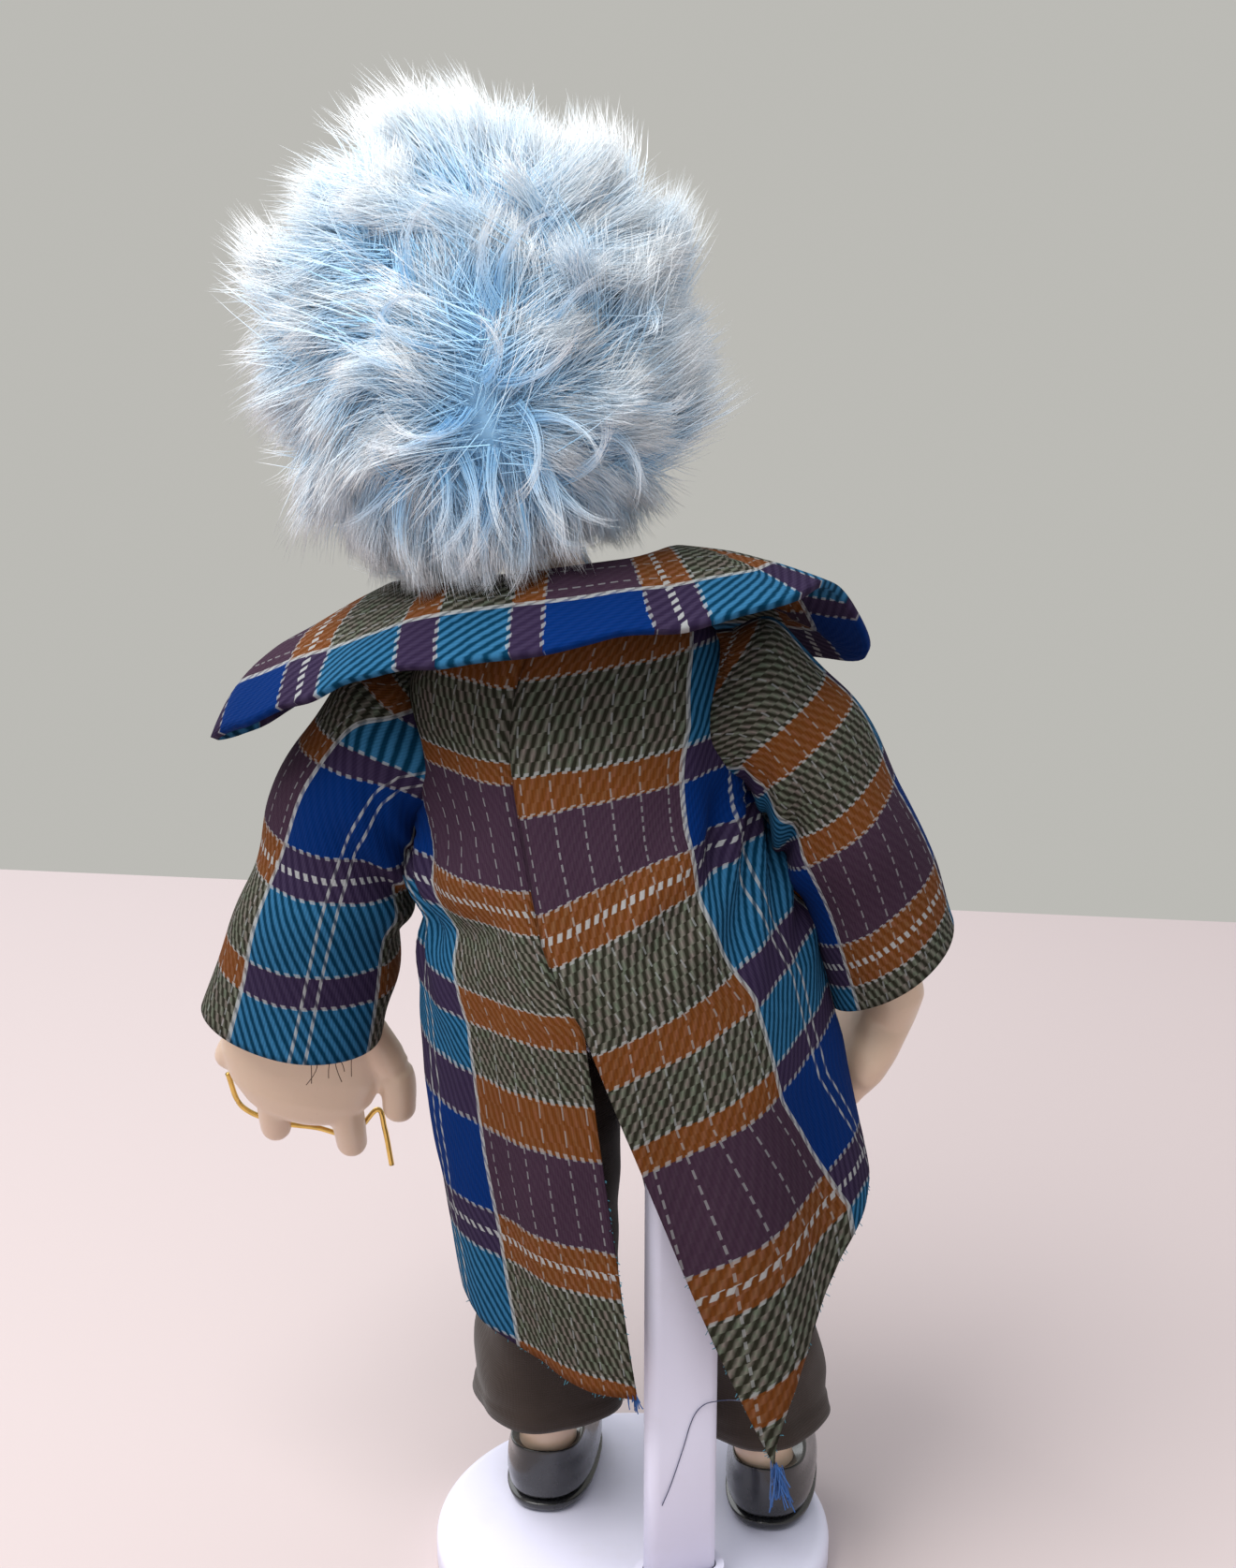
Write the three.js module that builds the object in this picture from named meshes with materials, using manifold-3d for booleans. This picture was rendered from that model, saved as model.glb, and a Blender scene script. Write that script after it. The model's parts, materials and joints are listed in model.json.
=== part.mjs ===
// A porcelain clown doll in a plaid swallow-tail coat, held at the hips by a white stand.
// Millimetres, +Z up. The doll faces -Y, its left hand is on +X, and the origin is the centre of the
// stand's underside. The upper body leans to its left, as a stuffed doll does on a loose clip.
import * as THREE from 'three';
import { mergeVertices } from 'three/addons/utils/BufferGeometryUtils.js';
import Module from 'manifold-3d';

const wasm = await Module();
wasm.setup();

// Fits
const FIT = 0.4;
const SEAM = 0.35;

// Stand
const BASE_DIAMETER = 115;
const BASE_HEIGHT = 10;
const BASE_EDGE = 4;
const STAND_TURN = 28;
const POST_WIDTH = 20;
const POST_THICKNESS = 8;
const POST_CORNER = 3;
const POST_TOP = 196;
const SOCKET_HEIGHT = 7;
const SOCKET_WALL = 2.2;
const SLIDER_HEIGHT = 13;
const SLIDER_WALL = 2.2;
const CLIP_SECTION = 4;
const CLIP_OPENING = 120;

// Pose of the doll on its stand
const PELVIS_X = 2;
const LEAN_PIVOT = 150;
const LEAN = 8;
const HEAD_TILT = 8;

// Legs
const HIP_SPREAD = 42;
const HIP_RADIUS = 22;
const LEG_LENGTH = 128.6;
const FOOT_X_LEFT = 27;
const FOOT_X_RIGHT = -41;
const TROUSER_WIDTH = 40;
const TROUSER_HEM_WIDTH = 43;
const TROUSER_HEM_DEPTH = 41;
const TROUSER_HEM = 46;
const TROUSER_WALL = 1.6;
const KNEE = 84;
const THIGH_RADIUS = 13;
const CALF_RADIUS = 10.5;
const ANKLE_RADIUS = 8.6;
const SHOE_HEIGHT = 20;
const SHOE_WIDTH = 27;
const SHOE_LENGTH = 52;
const SOLE_THICKNESS = 3;
const STANDING_GAP = 0.6;
const HIP_Z = BASE_HEIGHT + STANDING_GAP + LEG_LENGTH;
const SEAT_BOTTOM = HIP_Z + HIP_RADIUS + FIT;
const SLIDER_BOTTOM = SEAT_BOTTOM + 1.4;

// Torso, measured upright before the lean
const WAIST = 196;
const SEAT_HALF_WIDTH = 27.9;
const SEAT_WALL = 1.6;
const TORSO_BOTTOM = 168;
const SHOULDER = 250;
const NECK_PIVOT = 288;
const NECK_BALL = 11.5;
const PLATE_BOTTOM = 238;
const SHIRT_WALL = 1.3;
const NECK_RADIUS = 14.6;

// Head
const HEAD_HEIGHT = 80;
const HEAD_WIDTH = 62;
const HEAD_DEPTH = 68;
const CHIN = 297;
const HEAD_WALL = 4.5;
const CROWN_HOLE = 17;
const WIG_WIDTH = 108;
const WIG_HEIGHT = 112;
const WIG_CENTRE = 352;
const WIG_SETBACK = 5;

// Arms
const UPPER_ARM_DROP = 30;
const ELBOW = SHOULDER - UPPER_ARM_DROP;
const ELBOW_BALL = 8;
const UPPER_ARM_RADIUS = 10;
const FOREARM_LEFT = 32;
const FOREARM_RIGHT = 60;
const WRIST_RADIUS = 8;
const SLEEVE_WALL = 1.5;
const PALM_WIDTH = 49;
const PALM_THICKNESS = 17;
const GOLD_WIRE = 1.6;

// Coat
const CLOTH = 1.3;
const VENT_TOP = 180;
const LEFT_TAIL_TIP = 74;
const RIGHT_TAIL_TIP = 52;
const ARMHOLE_BOTTOM = 226;
const ARMHOLE_TOP = 268;
const COAT_NECK = 285;
const COLLAR_SHIFT = 8;
const COLLAR_TIP_REACH = 88;
const COLLAR_THICKNESS = 2.2;

const DEG = Math.PI / 180;
const vec = (x, y, z) => new THREE.Vector3(x, y, z);
const mix = (a, b, t) => a + (b - a) * t;

// Smooth step from 0 at a to 1 at b.
function ramp(a, b, x) {
  const t = Math.min(1, Math.max(0, (x - a) / (b - a)));
  return t * t * (3 - 2 * t);
}

// The value at z of a table of [z, value] rows with z rising, with straight lines between the rows.
function profileAt(rows, z, column = 1) {
  if (z <= rows[0][0]) return rows[0][column];
  for (let i = 1; i < rows.length; i++) {
    const [low, high] = [rows[i - 1], rows[i]];
    if (z <= high[0]) return mix(low[column], high[column], (z - low[0]) / (high[0] - low[0]));
  }
  return rows[rows.length - 1][column];
}

// Geometry helpers

// One clean closed body: merged points, no empty triangles, faces pointing out.
function tidy(geometry) {
  const bare = geometry.clone();
  for (const name of Object.keys(bare.attributes)) {
    if (name !== 'position') bare.deleteAttribute(name);
  }
  const merged = mergeVertices(bare, 1e-4);
  const points = merged.attributes.position;
  const from = merged.index.array;
  const kept = [];
  let volume = 0;
  for (let i = 0; i < from.length; i += 3) {
    const [a, b, c] = [from[i], from[i + 1], from[i + 2]];
    if (a === b || b === c || a === c) continue;
    kept.push(a, b, c);
    const [p, q, r] = [a, b, c].map((k) => new THREE.Vector3().fromBufferAttribute(points, k));
    volume += p.dot(q.cross(r));
  }
  if (volume < 0) kept.reverse();
  const made = new THREE.BufferGeometry();
  made.setAttribute('position', points);
  made.setIndex(kept);
  return made;
}

function solidOf(geometry) {
  const g = tidy(geometry);
  const vertProperties = new Float32Array(g.attributes.position.array);
  const triVerts = new Uint32Array(g.index.array);
  return new wasm.Manifold(new wasm.Mesh({ numProp: 3, vertProperties, triVerts }));
}

function geometryOf(solid) {
  const { vertProperties, triVerts } = solid.getMesh();
  const made = new THREE.BufferGeometry();
  made.setAttribute('position', new THREE.BufferAttribute(vertProperties.slice(), 3));
  made.setIndex([...triVerts]);
  return tidy(made);
}

// A cut of one geometry by others, and a join of several.
const cut = (body, ...tools) => geometryOf(tools.reduce((s, t) => s.subtract(solidOf(t)), solidOf(body)));
const join = (...bodies) => geometryOf(bodies.slice(1).reduce((s, b) => s.add(solidOf(b)),
  solidOf(bodies[0])));
const common = (a, b) => geometryOf(solidOf(a).intersect(solidOf(b)));

function fromTriangles(points, faces) {
  const made = new THREE.BufferGeometry();
  made.setAttribute('position', new THREE.Float32BufferAttribute(points.flatMap((p) => [p.x, p.y, p.z]),
    3));
  made.setIndex(faces);
  return tidy(made);
}

function bandFaces(rings, count, wrap) {
  const faces = [];
  const last = wrap ? rings : rings - 1;
  for (let i = 0; i < last; i++) {
    for (let j = 0; j < count; j++) {
      const [a, b] = [i * count + j, i * count + ((j + 1) % count)];
      const next = ((i + 1) % rings) * count;
      const [c, d] = [next + ((j + 1) % count), next + j];
      faces.push(a, b, c, a, c, d);
    }
  }
  return faces;
}

// A solid skin over rings of points, with both ends closed.
function loft(rings) {
  const count = rings[0].length;
  const points = rings.flat();
  const faces = bandFaces(rings.length, count, false);
  for (const [first, flip] of [[0, true], [(rings.length - 1) * count, false]]) {
    const centre = points.length;
    const middle = vec(0, 0, 0);
    for (let j = 0; j < count; j++) middle.add(points[first + j]);
    points.push(middle.divideScalar(count));
    for (let j = 0; j < count; j++) {
      const [a, b] = [first + j, first + ((j + 1) % count)];
      faces.push(...(flip ? [centre, b, a] : [centre, a, b]));
    }
  }
  return fromTriangles(points, faces);
}

// A tube with a wall: outer rings going up, then inner rings coming down.
function shell(outer, inner) {
  const rings = [...outer, ...[...inner].reverse()];
  return fromTriangles(rings.flat(), bandFaces(rings.length, rings[0].length, true));
}

// A level ellipse of points, anticlockwise from +X seen from above.
function ellipse(x, y, z, a, b, count = 20) {
  return Array.from({ length: count }, (_, i) => {
    const t = (2 * Math.PI * i) / count;
    return vec(x + a * Math.cos(t), y + b * Math.sin(t), z);
  });
}

// A round ring about a line: centre, direction and two radii, the first one along "across".
function ringAbout(centre, direction, across, a, b, count = 14) {
  const n = direction.clone().normalize();
  const u = across.clone().addScaledVector(n, -across.dot(n)).normalize();
  const v = n.clone().cross(u);
  return Array.from({ length: count }, (_, i) => {
    const t = (2 * Math.PI * i) / count;
    return centre.clone().addScaledVector(u, a * Math.cos(t)).addScaledVector(v, b * Math.sin(t));
  });
}

// A plate of even thickness over a grid of points, rows by columns.
function plate(grid, thickness) {
  const [rows, columns] = [grid.length, grid[0].length];
  const at = (i, j) => grid[Math.min(rows - 1, Math.max(0, i))][Math.min(columns - 1, Math.max(0, j))];
  const sides = [1, -1].map((side) => grid.flatMap((row, i) => row.map((p, j) => {
    const alongRow = at(i, j + 1).clone().sub(at(i, j - 1));
    const downColumn = at(i + 1, j).clone().sub(at(i - 1, j));
    const normal = alongRow.cross(downColumn).normalize();
    return p.clone().addScaledVector(normal, (side * thickness) / 2);
  })));
  const points = [...sides[0], ...sides[1]];
  const back = rows * columns;
  const faces = [];
  const quad = (a, b, c, d) => faces.push(a, b, c, a, c, d);
  for (let i = 0; i + 1 < rows; i++) {
    for (let j = 0; j + 1 < columns; j++) {
      const a = i * columns + j;
      const [b, c, d] = [a + columns, a + columns + 1, a + 1];
      quad(a, b, c, d);
      quad(back + a, back + d, back + c, back + b);
    }
  }
  const edge = (a, b) => quad(a, b, back + b, back + a);
  for (let j = 0; j + 1 < columns; j++) {
    edge(j, j + 1);
    edge((rows - 1) * columns + j + 1, (rows - 1) * columns + j);
  }
  for (let i = 0; i + 1 < rows; i++) {
    edge((i + 1) * columns, i * columns);
    edge(i * columns + columns - 1, (i + 1) * columns + columns - 1);
  }
  return fromTriangles(points, faces);
}

// A round bar along a smooth curve through points.
function bar(points, diameter, steps = 16, sides = 4) {
  const outline = new THREE.Shape();
  outline.absarc(0, 0, diameter / 2, 0, 2 * Math.PI);
  const extrudePath = new THREE.CatmullRomCurve3(points);
  const settings = { extrudePath, steps, curveSegments: sides };
  return new THREE.ExtrudeGeometry(outline, settings);
}

const sphere = (centre, radius, sides = 16) => new THREE.SphereGeometry(radius, sides,
  Math.round(sides * 0.65))
  .rotateX(Math.PI / 2).translate(centre.x, centre.y, centre.z);

// Materials
const finish = (color, roughness, metalness = 0) => new THREE.MeshStandardMaterial({ color, roughness,
  metalness });
const PORCELAIN = finish(0xe8cbb0, 0.3);
const BODY_CLOTH = finish(0xe4dccb, 0.9);
const PLAID = finish(0x4a5570, 0.9);
const TROUSER_CLOTH = finish(0x2b211c, 0.85);
const SHIRT_CLOTH = finish(0xf0eeea, 0.85);
const SATIN = finish(0x1f4f9c, 0.45);
const FUR = finish(0xa9cfe8, 0.95);
const SHOE_BLACK = finish(0x17171a, 0.3);
const STAND_WHITE = finish(0xf1f1f5, 0.45);
const GOLD = finish(0xc9a13c, 0.3, 0.9);
const STEEL = finish(0x8d8f92, 0.4, 0.9);
const CORK = finish(0xb58a5a, 0.95);
const BUTTON_BROWN = finish(0x8a4a24, 0.4);

// Frames: the stand turned about its own axis, the leaning upper body, and the tilted head
const root = new THREE.Group();
const stand = new THREE.Group();
stand.rotation.z = STAND_TURN * DEG;
const leaning = new THREE.Group();
leaning.position.set(PELVIS_X, 0, LEAN_PIVOT);
leaning.rotation.y = LEAN * DEG;
const upper = new THREE.Group();
upper.position.z = -LEAN_PIVOT;
leaning.add(upper);
const neck = new THREE.Group();
neck.position.z = NECK_PIVOT;
neck.rotation.y = HEAD_TILT * DEG;
const headFrame = new THREE.Group();
headFrame.position.z = -NECK_PIVOT;
neck.add(headFrame);
upper.add(neck);
root.add(stand, leaning);

function add(parent, name, geometry, material) {
  const mesh = new THREE.Mesh(geometry, material);
  mesh.name = name;
  parent.add(mesh);
}

// Stand: a round solid base, a flat post in a socket, and a clip that slides on the post
function roundedBar(width, depth, corner, height) {
  const [w, d] = [width / 2, depth / 2];
  const outline = new THREE.Shape();
  outline.moveTo(-w + corner, -d);
  outline.lineTo(w - corner, -d);
  outline.absarc(w - corner, -d + corner, corner, -Math.PI / 2, 0);
  outline.absarc(w - corner, d - corner, corner, 0, Math.PI / 2);
  outline.absarc(-w + corner, d - corner, corner, Math.PI / 2, Math.PI);
  outline.absarc(-w + corner, -d + corner, corner, Math.PI, Math.PI * 1.5);
  return new THREE.ExtrudeGeometry(outline, { depth: height, bevelEnabled: false, curveSegments: 4 });
}

function baseProfile() {
  const r = BASE_DIAMETER / 2;
  const points = [[0, 0], [r, 0]];
  for (let i = 0; i <= 4; i++) {
    const t = (i / 4) * (Math.PI / 2);
    points.push([r - BASE_EDGE * (1 - Math.cos(t)), BASE_HEIGHT - BASE_EDGE * (1 - Math.sin(t))]);
  }
  points.push([0, BASE_HEIGHT]);
  return points.map(([x, y]) => new THREE.Vector2(x, y));
}

function buildStand() {
  const middle = SLIDER_BOTTOM + SLIDER_HEIGHT / 2;
  const turn = STAND_TURN * DEG;
  const hips = profileAt(SEAT_ROWS, middle, 1);
  const centre = vec(hips * Math.cos(turn), -hips * Math.sin(turn), middle);
  const radius = SEAT_HALF_WIDTH + FIT + CLIP_SECTION / 2;
  const sliderFront = centre.y + radius + CLIP_SECTION / 2 + SEAM;
  const postOffset = sliderFront + SLIDER_WALL + FIT + POST_THICKNESS / 2;

  const base = tidy(new THREE.LatheGeometry(baseProfile(), 36).rotateX(Math.PI / 2));
  add(stand, 'stand_base', base, STAND_WHITE);

  const postHeight = POST_TOP - BASE_HEIGHT - FIT;
  const post = roundedBar(POST_WIDTH, POST_THICKNESS, POST_CORNER, postHeight);
  post.translate(0, postOffset, BASE_HEIGHT + FIT);
  add(stand, 'stand_post', tidy(post), STAND_WHITE);

  const sleeve = (wall, height, bottom) => {
    const grow = 2 * (FIT + wall);
    const body = roundedBar(POST_WIDTH + grow, POST_THICKNESS + grow, POST_CORNER + FIT + wall, height);
    const hole = roundedBar(POST_WIDTH + 2 * FIT, POST_THICKNESS + 2 * FIT, POST_CORNER + FIT, height + 2);
    body.translate(0, postOffset, bottom);
    hole.translate(0, postOffset, bottom - 1);
    return cut(body, hole);
  };
  add(stand, 'stand_socket', sleeve(SOCKET_WALL, SOCKET_HEIGHT, BASE_HEIGHT + SEAM), STAND_WHITE);
  add(stand, 'stand_slider', sleeve(SLIDER_WALL, SLIDER_HEIGHT, SLIDER_BOTTOM), STAND_WHITE);

  const sweep = (360 - CLIP_OPENING) * DEG;
  const points = Array.from({ length: 17 }, (_, i) => {
    const t = Math.PI / 2 + sweep * (i / 16 - 0.5);
    return vec(centre.x + radius * Math.cos(t), centre.y + radius * Math.sin(t), middle);
  });
  const ring = bar(points, CLIP_SECTION, 22);
  const pad = new THREE.BoxGeometry(12, CLIP_SECTION, SLIDER_HEIGHT - 4);
  pad.translate(centre.x, sliderFront - SEAM - CLIP_SECTION / 2, middle);
  add(stand, 'stand_clip', join(ring, pad), STAND_WHITE);
}

// Trouser seat and waistband, upright over the hips: z, centre x, half-width, half-depth
const SEAT_ROWS = [
  [SEAT_BOTTOM, 3.8, SEAT_HALF_WIDTH, 21.5], [mix(SEAT_BOTTOM, WAIST, 0.3), 5.2, SEAT_HALF_WIDTH, 21.2],
  [mix(SEAT_BOTTOM, WAIST, 0.65), 6.8, SEAT_HALF_WIDTH - 0.8, 20.6], [WAIST, 8.4, SEAT_HALF_WIDTH - 1.6,
    20],
];

function buildSeat() {
  const rings = (rows, shrink) => rows.map(([z, x, a, b]) => ellipse(x, 0, z, a - shrink, b - shrink, 20));
  add(root, 'trousers_seat', shell(rings(SEAT_ROWS, 0), rings(SEAT_ROWS, SEAT_WALL)), TROUSER_CLOTH);
  const band = [[WAIST + SEAM, 8.4, 26.6, 20.6], [WAIST + 3, 8.8, 26.9, 20.9], [WAIST + 6.5, 9.3, 26.6,
    20.6]];
  add(root, 'waistband', shell(rings(band, 0), rings(band, 2)), TROUSER_CLOTH);
}

// Legs: cloth thighs bound to porcelain shins, shoes, and trouser legs that turn on the hips
const ANKLE_Y = -9;

function buildLeg(side) {
  const name = side > 0 ? 'left' : 'right';
  const hipX = PELVIS_X + (side * HIP_SPREAD) / 2;
  const footX = side > 0 ? FOOT_X_LEFT : FOOT_X_RIGHT;
  const ground = BASE_HEIGHT + STANDING_GAP;
  const along = (z) => (z - ground) / (HIP_Z - ground);
  const legX = (z) => mix(footX, hipX, along(z));
  const legY = (z) => mix(ANKLE_Y, 0, along(z));
  const rings = (rows, count, y = 1) => rows.map(([z, a, b]) => ellipse(legX(z), y * legY(z), z, a, b,
    count));

  const tube = [
    [TROUSER_HEM, TROUSER_HEM_WIDTH / 2, TROUSER_HEM_DEPTH / 2],
    [70, 20.8, 20], [95, 20, 20.2], [120, TROUSER_WIDTH / 2 - 0.4, 21.2],
    [HIP_Z, TROUSER_WIDTH / 2 - 0.4, HIP_RADIUS],
  ];
  const dome = new THREE.CylinderGeometry(HIP_RADIUS, HIP_RADIUS, TROUSER_WIDTH - 0.8,
    30).rotateZ(Math.PI / 2);
  dome.translate(hipX, 0, HIP_Z);
  const cavity = tube.map(([z, a, b]) => [z, a - TROUSER_WALL, b - TROUSER_WALL]);
  cavity[0][0] -= 1;
  cavity.push([HIP_Z + 11, 15, 15], [HIP_Z + 17, 8, 8]);
  const trouser = cut(join(loft(rings(tube, 20, 0.6)), dome), loft(rings(cavity, 14, 0.6)));
  add(root, `${name}_trouser_leg`, trouser, TROUSER_CLOTH);

  const thigh = [[KNEE + 2, 9.5, 9.5], [KNEE + 8, 12, 12], [112, THIGH_RADIUS, 13.5], [136, 14, 14.5],
    [HIP_Z + 11, 14.5, 14.5], [HIP_Z + 16.6, 7.6, 7.6]];
  add(root, `${name}_upper_leg`, loft(rings(thigh, 14)), BODY_CLOTH);

  const shoeTop = ground + SOLE_THICKNESS + SEAM + SHOE_HEIGHT - SOLE_THICKNESS;
  const shin = [[shoeTop - 4, ANKLE_RADIUS, ANKLE_RADIUS + 0.6], [shoeTop + 6, 8.2, 8.6], [52, 9.4, 9.8],
    [68, CALF_RADIUS, CALF_RADIUS], [KNEE - 4, 9.6, 9.6], [KNEE + 1.4, 9.2, 9.2]];
  add(root, `${name}_lower_leg`, loft(rings(shin, 14)), PORCELAIN);

  const band = [[KNEE - 3, 12.4, 12.4], [KNEE + 2, 13.2, 13.2], [KNEE + 6, 13.2, 13.2]];
  const bandHole = [[KNEE - 4, 10.2, 10.2], [KNEE + 1.7, 9.8, 9.8], [KNEE + 3, 11.2, 11.2], [KNEE + 7,
    12.6, 12.6]];
  add(root, `${name}_leg_binding`, cut(loft(rings(band, 14)), loft(rings(bandHole, 14))), BODY_CLOTH);

  const ankleY = legY(shoeTop);
  const ankleX = legX(ground + 10);
  const outline = (z, halfWidth, heel, toe) => {
    const middle = ankleY + (heel + toe) / 2;
    const half = (heel - toe) / 2;
    return ellipse(0, 0, 0, 1, 1, 18).map((p) => {
      const square = 1 / Math.pow(Math.abs(p.x) ** 2.5 + Math.abs(p.y) ** 2.5, 1 / 2.5);
      return vec(ankleX + halfWidth * p.x * square, middle + half * p.y * square, z);
    });
  };
  const half = SHOE_WIDTH / 2;
  const toe = 11.5 - SHOE_LENGTH;
  const soleRings = [outline(ground, half - 1, 10.6, toe + 1), outline(ground + SOLE_THICKNESS, half,
    11.5, toe)];
  add(root, `${name}_shoe_sole`, loft(soleRings), SHOE_BLACK);
  const low = ground + SOLE_THICKNESS + SEAM;
  const shoeRings = [[0, half - 0.7, 10.8, toe + 0.8], [5, half, 11.5, toe + 0.2], [9, half - 0.4, 11.4,
    toe + 2.6],
    [12.5, half - 1.6, 11.2, toe + 9], [15, half - 2.4, 11, toe + 20], [17, half - 2.8, 10.9, toe + 28.5]];
  const body = loft(shoeRings.map(([rise, width, heel, front]) => outline(low + rise, width, heel, front)));
  const opening = loft([[shoeTop - 4.5, ANKLE_RADIUS + 0.7, ANKLE_RADIUS + 1.3], [shoeTop + 3, 9.4, 10]]
    .map(([z, a, b]) => ellipse(legX(z), legY(z), z, a, b, 14)));
  add(root, `${name}_shoe`, cut(body, opening), SHOE_BLACK);
}

// Torso, shoulder plate, shirt and bow tie, in the leaning frame: z, half-width, half-depth
const TORSO_ROWS = [
  [TORSO_BOTTOM, 21.5, 16], [176, 23, 17.4], [188, 22.8, 17.2], [206, 23.8, 18], [228, 28, 18.6],
  [246, 28.6, 17], [257, 23.5, 13.5], [265, 13, 9],
];
const PLATE_ROWS = [
  [PLATE_BOTTOM, 30.8, 20.6], [250, 30.8, 19.6], [261, 26.6, 16.6], [269, 19, 15.2], [276, 15.6, 14.6],
  [286, NECK_RADIUS, NECK_RADIUS],
];
const SHIRT_ROWS = [
  [WAIST + 13, 26.2, 20], [222, 28.8, 20.4], [236, 31.4, 21.2], [250, 31.4, 20.2], [261, 27.2, 17.2],
];

function buildTorso() {
  const rings = (rows, grow, count = 20) => rows.map(([z, a, b]) => ellipse(0, 0, z, a + grow, b + grow,
    count));
  add(upper, 'torso', loft(rings(TORSO_ROWS, 0)), BODY_CLOTH);
  const cup = sphere(vec(0, 0, NECK_PIVOT), NECK_BALL + FIT, 18);
  add(upper, 'shoulder_plate', cut(loft(rings(PLATE_ROWS, 0)), loft(rings(TORSO_ROWS, FIT)), cup),
    PORCELAIN);
  add(upper, 'shirt', shell(rings(SHIRT_ROWS, SHIRT_WALL), rings(SHIRT_ROWS, 0)), SHIRT_CLOTH);

  const bandRows = [[269, 19.8, 16], [273, 17.6, 15.6], [277, 16.2, 15.2]];
  add(upper, 'bow_tie_band', shell(rings(bandRows, 1.2), rings(bandRows, 0.1)), SATIN);
  const bowY = -20.8;
  const bowZ = 272;
  const knot = new THREE.SphereGeometry(1, 12, 8).scale(4.6, 2.9, 4.6).translate(0, bowY, bowZ);
  add(upper, 'bow_tie_knot', tidy(knot), SATIN);
  for (const side of [1, -1]) {
    const rows = [[4.4 + SEAM, 2.6, 1.7], [8, 5, 2.1], [12.5, 7.6, 2.3], [16.5, 8, 2], [18, 7.2, 1.3]];
    const lobe = loft(rows.map(([x, tall, thick]) => ringAbout(
      vec(side * x, bowY, bowZ - 0.05 * x), vec(side, 0, 0), vec(0, 0, 1), tall, thick, 14)));
    add(upper, `bow_tie_${side > 0 ? 'left' : 'right'}`, lobe, SATIN);
  }
}

// Head: a hollow porcelain head with an open crown, closed by a cork pate under the wig
const HEAD_ROWS = [
  [0, 11, 13, -10], [0.05, 18, 22, -8], [0.13, 23.6, 28.4, -5.5], [0.26, 28, 32.4, -3], [0.41, 30.6, 34,
    -1],
  [0.56, 31, 34, 0], [0.71, 29.4, 32.6, 1], [0.84, 24.4, 27.6, 2], [0.93, 17.4, 20, 2.6], [0.985, 8, 9, 3],
];

function headSkin(grow, count = 22) {
  const [wide, deep] = [HEAD_WIDTH / 62, HEAD_DEPTH / 68];
  return loft(HEAD_ROWS.map(([part, a, b, y], i) => {
    const z = CHIN + part * HEAD_HEIGHT + (i === 0 ? -grow : i === HEAD_ROWS.length - 1 ? grow : 0);
    return ellipse(0, y, z, a * wide + grow, b * deep + grow, count);
  }));
}

function buildHead() {
  const ball = sphere(vec(0, 0, NECK_PIVOT), NECK_BALL, 18);
  const stem = new THREE.CylinderGeometry(9.4, 9.4, 16, 18).rotateX(Math.PI / 2).translate(0, 0, CHIN - 1);
  const crown = CHIN + HEAD_HEIGHT;
  const hole = new THREE.CylinderGeometry(CROWN_HOLE, CROWN_HOLE, 14, 20).rotateX(Math.PI / 2);
  hole.translate(0, 2.5, crown - 5);
  const skin = join(headSkin(0), stem, ball);
  const outer = join(headSkin(FIT), stem);
  add(headFrame, 'head', cut(skin, headSkin(-HEAD_WALL, 14), hole), PORCELAIN);

  const pateRows = [[crown - 12, 13], [crown - 9, 16.4], [crown - 6, 16.5], [crown - 3.6, 13],
    [crown - 2, 7]];
  const pateSkin = loft(pateRows.map(([z, r]) => ellipse(0, 2.5, z, r, r, 16)));
  const pateHollow = loft([[crown - 13, 10], [crown - 9, 12.6], [crown - 8, 12]]
    .map(([z, r]) => ellipse(0, 2.5, z, r, r, 16)));
  add(headFrame, 'head_pate', cut(pateSkin, pateHollow), CORK);

  const nose = sphere(vec(0, -36.2, CHIN + 0.43 * HEAD_HEIGHT), 5.4, 12);
  add(headFrame, 'nose', cut(nose, outer), finish(0xb3342c, 0.35));

  const fluff = new THREE.SphereGeometry(1, 26, 15).rotateX(Math.PI / 2);
  fluff.scale(WIG_WIDTH / 2, WIG_WIDTH / 2, WIG_HEIGHT / 2).translate(0, WIG_SETBACK, WIG_CENTRE);
  const face = new THREE.SphereGeometry(1, 20, 12).rotateX(Math.PI / 2).scale(27.5, 44, 38);
  face.translate(0, -54, CHIN + 27);
  const under = new THREE.BoxGeometry(140, 140, 40).translate(0, 0, CHIN + 2 - 20);
  add(headFrame, 'wig', cut(fluff, outer, face, under), FUR);
}

// Arms, in the leaning frame. Sleeve rings: outer x and z, inner x and z, half-depth, y
const SLEEVE_LEFT = [
  [45.3, 268, 45.3, 227, 19, 0], [59, 266.5, 47.2, 221.5, 20.5, 0], [74, 255, 50.6, 212.5, 21.5, -1],
  [87, 237, 54.4, 203, 22, -3], [98, 218, 59.5, 191, 22.4, -4.5], [109, 198.5, 64.8, 177.5, 23, -6.5],
  [119.5, 179.5, 69.4, 164.5, 23.6, -8],
];
const SLEEVE_RIGHT = [
  [45.3, 268, 45.3, 227, 19, 0], [57, 266.5, 46.8, 221.5, 20.5, 0], [68, 255, 49.4, 212, 21.5, -2],
  [77, 238, 51.8, 203, 22, -5], [84, 219, 54.2, 191, 22, -8.5], [89.5, 199, 56.2, 177.5, 22.4, -12],
  [93.5, 180, 57.4, 163.5, 23, -15.5],
];

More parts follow.
